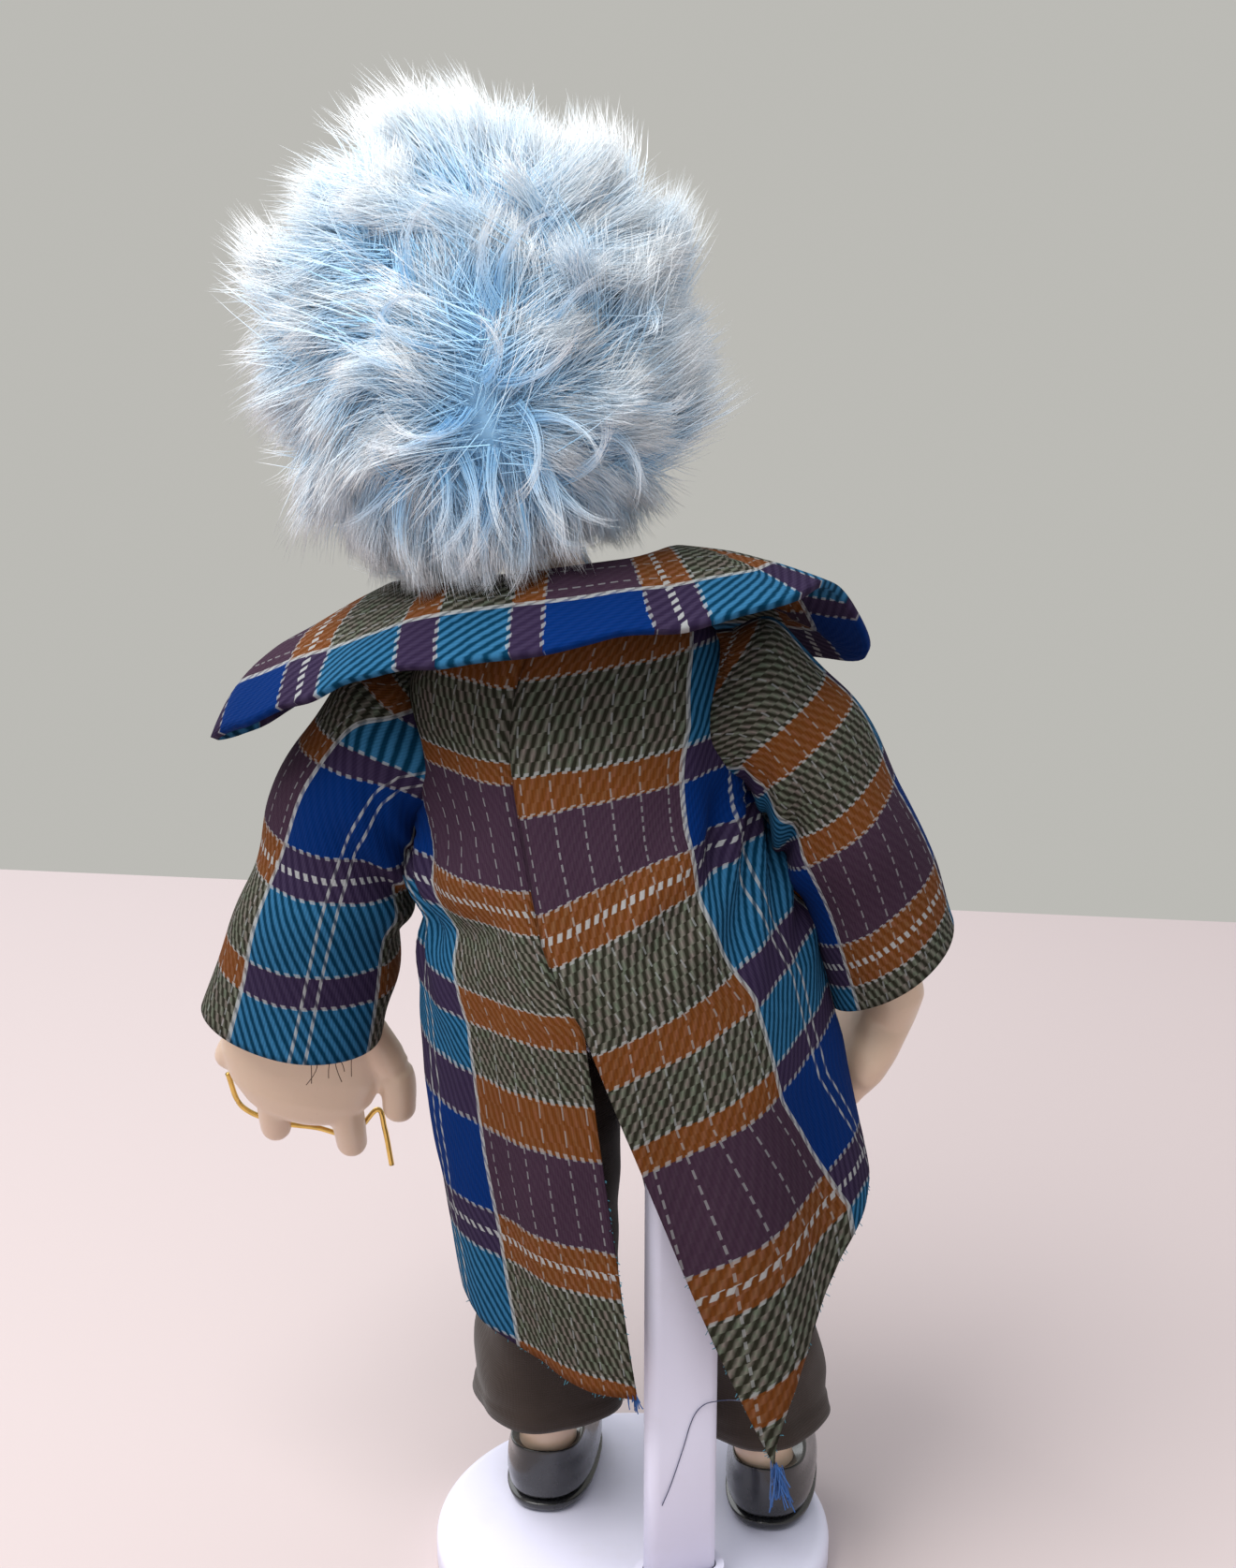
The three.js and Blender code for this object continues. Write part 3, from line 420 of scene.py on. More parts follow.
class Shader(Graph):
    """A principled material with short calls for the nodes that make its pattern."""

    def __init__(self, name, **sockets):
        self.material = bpy.data.materials.new(name)
        self.material.use_nodes = True
        super().__init__(self.material.node_tree)
        self.surface = self.tree.nodes["Principled BSDF"].inputs
        for socket, value in sockets.items():
            self.surface[socket.replace("_", " ")].default_value = value

    def mix(self, factor, a, b, blend="MIX"):
        inputs = {0: factor, 6: a, 7: b}
        return self.node("ShaderNodeMix", 2, inputs, data_type="RGBA", blend_type=blend)

    def tinted(self, a, b, share=1.0):
        return self.mix(share, a, b, "MULTIPLY")

    def axes(self, output):
        """The x, y and z of a texture coordinate."""
        place = self.node("ShaderNodeTexCoord", output)
        return self.add("ShaderNodeSeparateXYZ", {0: place}).outputs

    def noise(self, scale, detail=3.0, roughness=0.6):
        place = self.node("ShaderNodeTexCoord", "Object")
        inputs = {"Vector": place, "Scale": scale, "Detail": detail, "Roughness": roughness}
        return self.node("ShaderNodeTexNoise", inputs=inputs)

    def bands(self, value, stops):
        """Hard colour bands: stops are (start, colour) with start from 0 to 1."""
        made = self.add("ShaderNodeValToRGB", {0: value})
        made.color_ramp.interpolation = "CONSTANT"
        for i, (start, shade) in enumerate(stops):
            element = made.color_ramp.elements[i] if i < 2 else made.color_ramp.elements.new(start)
            element.position = start
            element.color = (*shade, 1)
        return made.outputs[0]

    def stretch(self, value, low, high, new_low=0.0, new_high=1.0):
        return self.node("ShaderNodeMapRange", inputs=enumerate((value, low, high, new_low, new_high)))

    def zigzag(self, value, pitch):
        return self.math("PINGPONG", self.over(value, pitch), 0.5)

    def inside(self, value, middle, half):
        """1 within half of middle."""
        return self.math("LESS_THAN", self.math("ABSOLUTE", self.minus(value, middle)), half)

    def bump(self, height, strength, distance):
        inputs = {"Height": height, "Strength": strength, "Distance": distance}
        self.feed(self.surface["Normal"], self.node("ShaderNodeBump", inputs=inputs))

    def colour(self, value):
        self.feed(self.surface["Base Color"], value)
        return self.material


def scaled(shade, factor):
    return tuple(c * factor for c in shade)


# Plaid bands: start in millimetres along one repeat, colour in each of the two columns, strength of the twill
PLAID_REPEAT = 98
PLAID_BANDS = ((0, "rust", "purple", 0.28), (13, "olive", "turquoise", 0.9), (36, "rust", "purple", 0.22),
               (46, "olive", "turquoise", 0.9), (64, "rust", "purple", 0.22), (72, "plum", "royal", 0.05))

# Pale yarn along the bands: middle and half-width in millimetres, strength
PALE_ROWS = ((0, 0.5, 0.5), (6.5, 1.1, 0.85), (13, 0.6, 0.6), (36, 0.6, 0.6), (46, 0.6, 0.6), (64, 0.6, 0.6),
             (72, 0.5, 0.5))
LAST_PALE_WIDTH, LAST_PALE_STRENGTH = 0.6, 0.6
NEUTRAL_SHARE = 45 / 83
BLUE_WIDTH = 38

# Sizes of the weave in decimetres, as on the UV map
DECIMETRES = 10
BAND_WANDER = 0.016
WEFT_STEP = 0.026
YARN_PITCH = 0.0085
DASH_SPACING = 0.075
DASH_LENGTH = 0.036

# Half-widths of the pale upright lines, and half the gap of the double line, as shares of their repeat
BORDER_HALF = 0.008
DOUBLE_GAP = 0.022
DOUBLE_HALF = 0.005
DASH_HALF = 0.034

# Twill ribs: slant, unevenness, and shades by column, with a painted highlight along the ribs and painted
# shade between them
TWILL_SLANT = 1.7
RIB_UNEVEN = 0.22
RIB_EDGE = 0.13
RIB_TOPS = (0.48, 0.36)
RIB_PALE = (0.3, 0.08)
# Painted highlight on the rib tops, and painted shade in the grooves between the ribs
RIB_PAINTED_HIGHLIGHT = (1.5, 1.5, 1.5)
RIB_PAINTED_SHADE = (0.26, 0.31, 0.32)
GREEN_TINT = (0.8, 1.0, 0.84)
ROSE_TINT = (1.1, 0.96, 1.0)
# Painted shade in the gaps between the upright yarns
YARN_GAP_SHADE = (0.45, 0.42, 0.42)
WORN_SHADE = (0.72, 0.72, 0.74)


def plaid_twill():
    """Woven plaid on the piece's UV map, in decimetres: x across the columns, y along the bands."""
    c = colours()
    s = sizes()
    shader = Shader("plaid twill", Roughness=0.92, Specular_IOR_Level=0.04, Sheen_Weight=0.006)
    plus, minus, times, over = shader.plus, shader.minus, shader.times, shader.over
    stretch, inside = shader.stretch, shader.inside
    u, v, _ = shader.axes("UV")
    v = plus(v, times(minus(shader.noise(55.0, 2.0), 0.5), BAND_WANDER))
    band = shader.fract(over(v, s.band_repeat * DECIMETRES))
    column = shader.fract(plus(over(u, s.column_repeat * DECIMETRES), NEUTRAL_SHARE))
    in_blue = shader.math("GREATER_THAN", column, NEUTRAL_SHARE)
    in_neutral = minus(1.0, in_blue)

    def by_band(shade):
        return shader.bands(band, [(row[0] / PLAID_REPEAT, shade(row)) for row in PLAID_BANDS])

    neutral = by_band(lambda row: getattr(c, row[1]))
    blue = by_band(lambda row: getattr(c, row[2]))
    strength = by_band(lambda row: (row[3],) * 3)
    base = shader.mix(in_blue, neutral, blue)

    # Slanted twill ribs: painted shade between them; pale along them, partly pale yarn and partly a painted
    # highlight of the brightened base; strongest in the grey-green bands
    step = times(shader.math("FLOOR", over(v, WEFT_STEP)), WEFT_STEP)
    height = plus(v, times(minus(step, v), times(in_neutral, 0.4)))
    slant = plus(times(u, TWILL_SLANT), height)
    uneven = shader.noise(420.0)
    rib = shader.zigzag(slant, s.twill_pitch * DECIMETRES * math.hypot(1, TWILL_SLANT))
    rib = plus(rib, times(minus(uneven, 0.5), RIB_UNEVEN))
    light = shader.mix(stretch(in_blue, 0.0, 1.0, *RIB_PALE), shader.tinted(base, RIB_PAINTED_HIGHLIGHT), c.pale)
    tint = shader.mix(stretch(shader.noise(300.0, 2.0), 0.35, 0.65), GREEN_TINT, ROSE_TINT)
    light = shader.mix(in_neutral, light, shader.tinted(light, tint))
    on_rib = stretch(rib, RIB_EDGE, stretch(in_blue, 0.0, 1.0, *RIB_TOPS))
    ribbed = shader.mix(on_rib, shader.tinted(base, RIB_PAINTED_SHADE), light)
    woven = shader.mix(strength, base, ribbed)

    # Fine upright yarn lines over all of it, with painted shade in the gaps between the yarns
    yarn = shader.zigzag(u, YARN_PITCH)
    woven = shader.tinted(woven, YARN_GAP_SHADE, stretch(yarn, 0.0, 0.5, 0.32, 0.0))

    # Pale yarn: ticks along bands, column borders, a double line in the blue column, thin dashes in the other
    rows = []
    for middle, half, amount in PALE_ROWS:
        rows.append((max(0.0, middle - half) / PLAID_REPEAT, (amount,) * 3))
        rows.append(((middle + half) / PLAID_REPEAT, (0.0,) * 3))
    rows.append(((PLAID_REPEAT - LAST_PALE_WIDTH) / PLAID_REPEAT, (LAST_PALE_STRENGTH,) * 3))
    ticks = times(shader.bands(band, rows), stretch(rib, 0.2, 0.3))
    border = shader.larger(inside(column, NEUTRAL_SHARE, BORDER_HALF),
                           inside(shader.math("PINGPONG", column, 0.5), 0.0, BORDER_HALF))
    middle = NEUTRAL_SHARE + (1 - NEUTRAL_SHARE) / 2
    double = shader.larger(inside(column, middle - DOUBLE_GAP, DOUBLE_HALF),
                           inside(column, middle + DOUBLE_GAP, DOUBLE_HALF))
    dash = shader.math("LESS_THAN", shader.fract(over(v, DASH_LENGTH)), 0.6)
    thin = times(inside(shader.fract(over(u, DASH_SPACING)), 0.5, DASH_HALF), dash)
    upright = shader.larger(times(border, stretch(rib, 0.12, 0.3, 0.35, 0.85)),
                            times(double, stretch(rib, 0.12, 0.3, 0.1, 0.75)))
    lines = shader.larger(shader.larger(upright, times(thin, times(in_neutral, 0.4))), ticks)
    lined = shader.mix(lines, woven, c.pale)

    # Fade in soft patches
    worn = shader.tinted(lined, WORN_SHADE, stretch(shader.noise(22.0, 2.0), 0.35, 0.75, 0.0, 0.3))
    relief = plus(times(rib, 1.2), times(yarn, 0.7))
    shader.bump(plus(relief, times(uneven, 0.4)), 0.5, 0.0004)
    return shader.colour(worn)


def plain_weave(name, shade, pitch=0.0006):
    """Plain woven cloth on Object coordinates, with uneven yarn."""
    contrast = 0.25
    shader = Shader(name, Roughness=0.9, Specular_IOR_Level=0.2, Sheen_Weight=0.15)
    x, y, z = shader.axes("Object")
    weave = shader.plus(shader.zigzag(shader.plus(x, y), pitch), shader.zigzag(z, pitch))
    uneven = shader.noise(180.0, 4.0)
    pale = tuple(min(1, c * 1.35 + 0.01) for c in shade)
    base = shader.mix(shader.stretch(uneven, 0.3, 0.7, 0.0, contrast), shade, scaled(shade, 0.45))
    base = shader.mix(shader.stretch(shader.noise(28.0), 0.4, 0.75, 0.0, contrast), base, pale)
    shader.bump(shader.plus(weave, uneven), 0.4, 0.0002)
    return shader.colour(base)


# Colours of small pieces and of specks, rubs and scuffs
SPECK, BLUSH = (0.5, 0.3, 0.2), (0.78, 0.46, 0.34)
GLAZE_BLACK, GLAZE_RUBBED = (0.012, 0.012, 0.014), (0.05, 0.048, 0.046)
HORN_DARK, HORN_LIGHT = (0.06, 0.03, 0.018), (0.16, 0.085, 0.045)
SCUFF_GREY, BODY_CLOTH = (0.62, 0.6, 0.62), (0.62, 0.52, 0.42)
COTTON_WHITE, PEARL = (0.78, 0.77, 0.74), (0.72, 0.68, 0.62)
BOW_BLUE, NOSE_RED = (0.03, 0.09, 0.3), (0.42, 0.03, 0.025)

# How deep light goes into painted porcelain, and distances between yarns, in metres
SKIN_DEPTH = (0.004, 0.002, 0.001)
TROUSER_WEAVE, COTTON_WEAVE = 0.0007, 0.0005


def painted_porcelain():
    """Satin painted porcelain: faint blush and specks, and a thin clear finish."""
    shader = Shader("painted porcelain", Roughness=0.34, Coat_Weight=0.25, Coat_Roughness=0.25,
                    Subsurface_Weight=0.06, Subsurface_Radius=SKIN_DEPTH)
    blush = shader.stretch(shader.noise(34.0, 2.0), 0.42, 0.72, 0.0, 0.3)
    base = shader.mix(blush, colours().skin, BLUSH)
    base = shader.mix(shader.stretch(shader.noise(700.0, 2.0), 0.62, 0.8, 0.0, 0.2), base, SPECK)
    shader.bump(shader.noise(420.0), 0.06, 0.0002)
    return shader.colour(base)


def painted_head():
    """Porcelain with the face painted in the mesh's own colour attribute."""
    shader = Shader("painted head", Roughness=0.33, Coat_Weight=0.25, Coat_Roughness=0.22,
                    Subsurface_Weight=0.05, Subsurface_Radius=SKIN_DEPTH)
    paint = shader.node("ShaderNodeVertexColor", layer_name="paint")
    shader.bump(shader.noise(300.0), 0.05, 0.0002)
    specks = shader.stretch(shader.noise(600.0, 2.0), 0.6, 0.8, 0.0, 0.12)
    return shader.colour(shader.mix(specks, paint, SPECK))


def black_glaze():
    """Glossy black paint over porcelain, with brush marks and fine rubbed spots."""
    shader = Shader("black glaze", Roughness=0.2, Coat_Weight=0.5, Coat_Roughness=0.08)
    rub = shader.noise(150.0, 5.0, 0.7)
    shader.feed(shader.surface["Roughness"], shader.stretch(rub, 0.3, 0.75, 0.16, 0.36))
    shader.bump(shader.noise(90.0), 0.08, 0.0004)
    rubbed = shader.stretch(rub, 0.6, 0.78, 0.0, 0.4)
    return shader.colour(shader.mix(rubbed, GLAZE_BLACK, GLAZE_RUBBED))


def moulded_plastic():
    """White moulded plastic with a soft sheen, fine grain and light scuffs."""
    shader = Shader("white moulded plastic", Roughness=0.42)
    scuff = shader.noise(40.0, 5.0, 0.7)
    shader.feed(shader.surface["Roughness"], shader.stretch(scuff, 0.3, 0.8, 0.34, 0.56))
    shader.bump(shader.noise(900.0, 2.0), 0.05, 0.0001)
    scuffed = shader.stretch(scuff, 0.58, 0.8, 0.0, 0.22)
    return shader.colour(shader.mix(scuffed, colours().stand, SCUFF_GREY))


def gold_wire():
    gold = colours().gold
    shader = Shader("gold wire", Roughness=0.28, Metallic=1.0)
    dull = shader.noise(300.0)
    shader.bump(dull, 0.15, 0.0001)
    return shader.colour(shader.mix(shader.stretch(dull, 0.4, 0.7, 0.0, 0.5), gold, scaled(gold, 0.55)))


def brown_horn():
    shader = Shader("brown button", Roughness=0.35)
    return shader.colour(shader.mix(shader.noise(160.0, 4.0), HORN_DARK, HORN_LIGHT))


def satin(name, shade):
    """Smooth satin with faint darker patches and a fine grain."""
    shader = Shader(name, Roughness=0.36, Sheen_Weight=0.4, Anisotropic=0.4)
    patches = shader.stretch(shader.noise(120.0), 0.35, 0.7, 0.0, 0.35)
    shader.bump(shader.noise(600.0, 2.0), 0.12, 0.0001)
    return shader.colour(shader.mix(patches, shade, scaled(shade, 0.55)))


def fur_fibre():
    """Fur that pales from root to tip, read from the strands' own "along" attribute."""
    c = colours()
    shader = Shader("fur fibre", Roughness=0.6, Sheen_Weight=0.5, Sheen_Roughness=0.4)
    along = shader.node("ShaderNodeAttribute", "Fac", attribute_name="along")
    base = shader.mix(shader.stretch(along, 0.15, 0.8), c.fur_root, c.fur_tip)
    blue = shader.stretch(shader.noise(60.0), 0.45, 0.7, 0.0, 0.4)
    return shader.colour(shader.mix(blue, base, c.fur_root))


MADE_MATERIALS = {}


def material(make, *values):
    """One copy of each material, made when it is first asked for."""
    key = (make.__name__, *values[:1])
    if key not in MADE_MATERIALS:
        MADE_MATERIALS[key] = make(*values)
    return MADE_MATERIALS[key]


# Coat, in the leaning frame: half-widths and half-depths by height

SHOULDER_WIDTHS = ((204, 48.4), (214, 46.2), (226, 44.4), (240, 43.9), (262, 43.6), (270, 41), (276, 36),
                   (281, 27), (285, 15.65))
HALF_WIDTHS = {
    LEFT: ((74, 50), (112, 52), (134, 54), (150, 54.5), (165, 53.5), (190, 51), *SHOULDER_WIDTHS),
    RIGHT: ((52, 58), (90, 60.5), (115, 61), (154, 59), (177, 55.5), (190, 52), *SHOULDER_WIDTHS),
}
HALF_DEPTH_BACK = ((52, 50), (100, 51), (150, 50), (180, 48.8), (196, 46.8), (212, 42.8), (230, 36.6),
                   (250, 30.6), (262, 27.2), (270, 24.4), (278, 19.8), (285, 15.65))
HALF_DEPTH_FRONT = ((110, 40), (150, 38), (180, 35.5), (200, 32), (230, 29.4), (250, 27.6), (262, 25.6),
                    (270, 22.8), (278, 19), (285, 15.65))
COAT_NECK = 285
ARMHOLE = (226, 268)
ARMHOLE_TURN = 28
VENT_TOP = 180
VENT_SLOPE = 0.245
BACK_END, FRONT_START = 90.2, 89.8

# Plaid height down each back panel's seam, and how far the blue column starts from the seam, both by height
SEAM_BANDS = {
    LEFT: ((76, 144), (83.6, 134), (107.7, 111), (120.5, 98), (146, 72), (161, 64), (175, 46), (185, 36),
           (205, 13), (215.5, 0), (242, -26), (247, -34), (285, -72)),
    RIGHT: ((52, 148), (90.5, 111), (105.5, 98), (138.5, 72), (146, 64), (163.5, 46), (174, 36), (197, 13),
            (210, 0), (234, -26), (244, -34), (267, -52), (285, -72)),
}
BLUE_START = {
    LEFT: ((74, 36), (110, 36), (150, 36), (178, 35), (188, 33), (205, 28), (217, 31), (230, 31), (245, 36),
           (256, 42), (285, 44)),
    RIGHT: ((52, 76), (113, 72), (151, 50), (180, 46), (205, 43), (225, 42), (240, 44), (250, 47), (285, 47)),
}
NEUTRAL_WIDTH = 44
PLAID_SLOPE_REACH = 80

# How far the back seam runs to the doll's left of the middle, by height
SEAM_LINE = ((180, 0), (190, 4.6), (201, 8.5), (214, 9.8), (232, 11.7), (250, 13), (262, 11), (272, 7),
             (285, 0))


def half_widths(turn):
    return HALF_WIDTHS[LEFT if turn >= 0 else RIGHT]


def coat_point(turn, z, lift=0.0):
    """A point of the coat: turn from the centre back in degrees, positive to the doll's left."""
    t = math.radians(turn)
    a = eased(half_widths(turn), z)
    b = eased(HALF_DEPTH_BACK if abs(turn) < 90 else HALF_DEPTH_FRONT, z)
    hang = 1 - ramp(120, 205, z)
    fold = 2.4 * hang * math.sin(6.2 * t + 0.9 * math.copysign(1, turn)) * ramp(4, 30, abs(turn))
    return Vector(((a + fold + lift) * math.sin(t), (b + fold + lift) * math.cos(t), z))


def seam_turn(z):
    """Where the back seam runs, in degrees to the doll's left of the middle."""
    return math.degrees(math.asin(eased(SEAM_LINE, z) / at(HALF_WIDTHS[LEFT], z)))


def creases(turn, z):
    """How far the cloth stands off its even shape: seam groove, waist folds, armpit drag, wrinkles."""
    side = abs(turn)
    beside = abs(turn - seam_turn(z))
    groove = -1.3 * bell(beside, 0, 2.2) * ramp(VENT_TOP - 14, VENT_TOP + 6, z)
    puff = 0.9 * bell(beside, 7, 5) * ramp(VENT_TOP - 10, VENT_TOP + 16, z)
    overhang = ramp(16, 42, turn) * (2.6 * bell(z, 217, 8) - 2.4 * bell(z, 204, 5.5))
    valley = -mix(50, 60, ramp(200, 240, z))
    pinch = bell(z, 217, 21) * (1.8 * bell(turn, valley + 14, 8) - 3.4 * bell(turn, valley, 6.5))
    slack = 1.3 * math.sin(0.24 * (z + 0.85 * turn)) * bell(z, 203, 17) * ramp(10, 26, -turn)
    flare = 3.6 * bell(turn, -94, 17) * bell(z, 192, 20)
    armpit = ramp(38, 74, side) * bell(z, 214, 22)
    drag = 2.2 * armpit * math.sin(0.30 * (z - 1.15 * side) + 1.2)
    p = coat_point(turn, z)
    small = ripple(p.x, p.y, 0.45 * z, 17, 1.0) + ripple(1.6 * p.x, p.y, 0.8 * z, 8, 0.35)
    hem = ripple(p.x, p.y, 0.2 * z, 24, 2.0) * (1 - ramp(100, 190, z))
    return groove + overhang + pinch + slack + flare + puff + drag + small + hem


def creased_point(turn, z, lift=0.0):
    return coat_point(turn, z, creases(turn, z) + lift)


def armhole(z):
    """How far an armhole's edge stands off the side seam, in degrees."""
    low, high = ARMHOLE
    return ARMHOLE_TURN * math.sin(math.pi * (z - low) / (high - low)) if low < z < high else 0.0


def seam_distance(turn, z):
    """Distance along the cloth from the centre back."""
    lowest = 60
    a = at(half_widths(turn), max(z, lowest))
    b = at(HALF_DEPTH_BACK, max(z, lowest))
    t = np.linspace(0, math.radians(abs(turn)), 24)
    step = np.hypot(a * np.cos(t), b * np.sin(t))
    return float(np.sum((step[1:] + step[:-1]) / 2 * np.diff(t)))


def coat_plaid(side, turn, z):
    """The plaid on the coat, in decimetres: the bands rise a little away from the centre seam."""
    from_middle = math.copysign(seam_distance(turn, z), turn)
    distance = max(0.0, side * (from_middle - seam_distance(seam_turn(z), z)))
    border = at(BLUE_START[side], z)
    u = distance - border
    if u < 0:
        u *= NEUTRAL_WIDTH / border
    slope = math.tan(math.radians(12 if side == LEFT else mix(17, 2, ramp(212, 244, z))))
    on_seam = z - min(distance, PLAID_SLOPE_REACH) * slope
    below = max(0.0, SEAM_BANDS[side][0][0] - on_seam)
    return u / 100, (at(SEAM_BANDS[side], on_seam) + below) / 100


def coat_panel(name, side, first, last, hem, columns=56, rows=92):
    """One cloth panel of the coat from the neck to its hem."""
    points, uvs = [], []
    for fall in steps(0, 1, rows - 1):
        spots = []
        for u in steps(0, 1, columns - 1):
            z = mix(COAT_NECK, hem(u), fall)
            spots.append((side * mix(first(z), last(z), u), z))
        points.append([creased_point(*spot) for spot in spots])
        uvs.append([coat_plaid(side, *spot) for spot in spots])
    return cloth_piece(name, placed(UPPER, points), uvs)


def vent(side, z):
    """How far the vent's edge has moved off the centre seam."""
    return 0.0 if side == LEFT else VENT_SLOPE * max(0.0, VENT_TOP - z)


def inner_turn(side, z):
    """Where a back panel starts, in degrees from the centre back."""
    opened = math.asin(min(0.98, vent(side, z) / at(HALF_WIDTHS[side], z)))
    return math.degrees(opened) + side * seam_turn(z) + 0.02


def tail_hem(side, u):
    """Height of the back hem from the vent to the side."""
    return mix(79, 112, u ** 1.5) if side == LEFT else mix(52, 116, u ** 0.75)


def front_edge(z):
    """Where a coat front ends, in degrees from the centre back."""
    return mix(142, 118, (z - 262) / 23) if z > 262 else mix(152, 142, ramp(190, 262, z))


def front_hem(side, u):
    return mix(112 if side == LEFT else 116, 186, u ** 0.55)


# Loose thread ends: radius in metres and colour of each yarn

YARNS = {"teal yarn": (0.00013, (0.05, 0.2, 0.27)), "blue yarn": (0.00019, (0.03, 0.1, 0.3)),
         "dark blue yarn": (0.00016, (0.05, 0.06, 0.13)), "dark yarn": (0.00014, (0.06, 0.03, 0.02))}


def strand_mesh(name, points, faces, along):
    """A mesh of thin strands, with "along" from root to tip."""
    mesh = bpy.data.meshes.new(name)
    mesh.from_pydata([tuple(p) for p in points], [], faces)
    mesh.attributes.new("along", "FLOAT", "POINT").data.foreach_set("value", along)
    return mesh


def threads(name, paths, radius, taper=0.0):
    """Many thin three-sided yarn ends in one mesh, each along its own points in metres."""
    points, faces, along = [], [], []
    for path in paths:
        first = len(points)
        shares = steps(0, 1, len(path) - 1)
        for p, run, s in zip(path, runs_along(path), shares):
            wide = radius * (1 - taper * s)
            points += ring_about(p, run, (0.31, 0.8, 0.2), wide, wide, 3)
            along += [s] * 3
        last = len(points) - 3
        faces += grid_faces(len(path), 3, True, first)
        faces += [(first + 2, first + 1, first), (last, last + 1, last + 2)]
    piece = new_object(name, strand_mesh(name, points, faces, along))
    face_outwards(piece)
    return piece


def yarn_piece(name, paths, finish, body="torso"):
    radius, shade = YARNS[finish]
    yarn = threads(name, paths, radius)
    dress(yarn, material(plain_weave, finish, shade), body)
    return yarn


def loose_ends(starts, lengths, away, seed, spread=0.5, curl=0.35):
    """Paths that leave points of an edge, in the leaning frame, and droop."""
    rng = np.random.default_rng(seed)
    paths = []
    for p in starts:
        long = rng.uniform(*lengths)
        heading = (Vector(away) + Vector(rng.normal(0, spread, 3))).normalized()
        bend = Vector(rng.normal(0, curl, 3)) + Vector((0, 0, -0.4))
        paths.append([p + heading * (long * s) + bend * (long * s * s * 0.6) for s in np.linspace(0, 1, 6)])
    return placed(UPPER, paths)


def coat_edge(side, u, z):
    return creased_point(side * mix(inner_turn(side, z), BACK_END - armhole(z), u), z)


# A long loose yarn leaves the right tail's edge and lies down the post's back face, in the stand's frame
STAND_TURN = Matrix.Rotation(math.radians(28), 4, "Z")
LOOSE_YARN = ((-12, 42.4, 69.6), (-8.8, 41.8, 69.6), (-5.4, 41.4, 69.2), (-2.8, 41.2, 67.1), (-1, 41.2, 63.4),
              (0.5, 41.2, 58.2), (2.3, 41.2, 52.6), (4.6, 41.2, 46), (6.9, 41.2, 40.7))
YARN_LEAVES = 74


def loose_yarn():
    start = UPPER @ coat_edge(RIGHT, 0, YARN_LEAVES)
    route = curve_through([start, *(STAND_TURN @ Vector(p) for p in LOOSE_YARN)], 44)
    path = placed(UPRIGHT, [route])
    return yarn_piece("tail_right_yarn", path, "dark blue yarn")


def tail_fringe(side):
    """Yarn ends along a tail's cut edges, with a longer blue tuft at its tip."""
    rng = np.random.default_rng(5 + side)
    name = SIDE_NAMES[side]
    tip = tail_hem(side, 0)
    hem = [coat_edge(side, u, tail_hem(side, u)) for u in rng.uniform(0, 1, 60)]
    edge = [coat_edge(side, 0, z) for z in rng.uniform(tip, tip + 62, 30)]
    short = loose_ends(hem, (0.4, 1.1), (0, 0, -1), 21 + side)
    short += loose_ends(edge, (0.3, 0.9), (side * -0.8, 0.3, -0.4), 31 + side)
    count, long = (46, (4, 11)) if side == RIGHT else (18, (1.5, 4))
    corner = [coat_edge(side, abs(du), tip + abs(dz)) for du, dz in rng.normal(0, (0.012, 1.4), (count, 2))]
    tuft = loose_ends(corner, long, (0, 0.05, -1), 41 + side, 0.16, 0.2)
    trim = [yarn_piece(f"tail_{name}_fringe", short, "teal yarn"),
            yarn_piece(f"tail_{name}_tuft", tuft, "blue yarn")]
    return trim + [loose_yarn()] if side == RIGHT else trim


def make_coat():
    twill = material(plaid_twill)
    for side, name in SIDE_NAMES.items():
        back = coat_panel(f"coat_back_{name}_cloth", side, lambda z: inner_turn(side, z),
                          lambda z: BACK_END - armhole(z), lambda u: tail_hem(side, u))
        front = coat_panel(f"coat_front_{name}_cloth", side, lambda z: FRONT_START + armhole(z), front_edge,
                           lambda u: front_hem(side, u), columns=40)
        for piece, part in ((back, "back"), (front, "front")):
            dress(piece, twill, "torso", [f"coat_{part}_{name}"])
            trim = tail_fringe(side) if part == "back" else []


# Collar and lapels

COLLAR_NECK = ((13.5, -13.5, 285.3), (17, -3, 286.7), (13.6, 9.8, 286.7), (0, 16.6, 286.7),
               (-13.6, 9.8, 286.7), (-17, -3, 286.7), (-13.5, -13.5, 285.3))
COLLAR_EDGE = ((44, -33, 263), (70, -20, 263), (96, 6, 257), (84, 24, 263), (62, 36, 270.5), (38, 44, 275.5),
               (12, 48.5, 278), (-18, 48.5, 278), (-42, 43, 279.5), (-64, 32, 280.5), (-74, 8, 278),
               (-77, -17, 256), (-44, -33, 258))

# Collar fall by share of the way round from the left front: rise over the straight line, fullness
COLLAR_FALL = ((0, 3, 3), (0.08, 8, 4), (0.167, 16, 9), (0.25, 13, 5), (0.34, 11, 3.4), (0.5, 10.5, 3),
               (0.75, 9, 3), (0.84, 8, 3), (0.92, 6, 3), (1, 3, 3))
COLLAR_TIP = 2
COLLAR_BLUE = 14.5
COLLAR_BAND_SHIFT, COLLAR_BAND_SCALE = 42, 0.942
EDGE_MARKS = 600
LAPEL_TOP, LAPEL_TIP = 256, 209
COLLAR_CLOTH, LAPEL_CLOTH = 0.0019, 0.0014


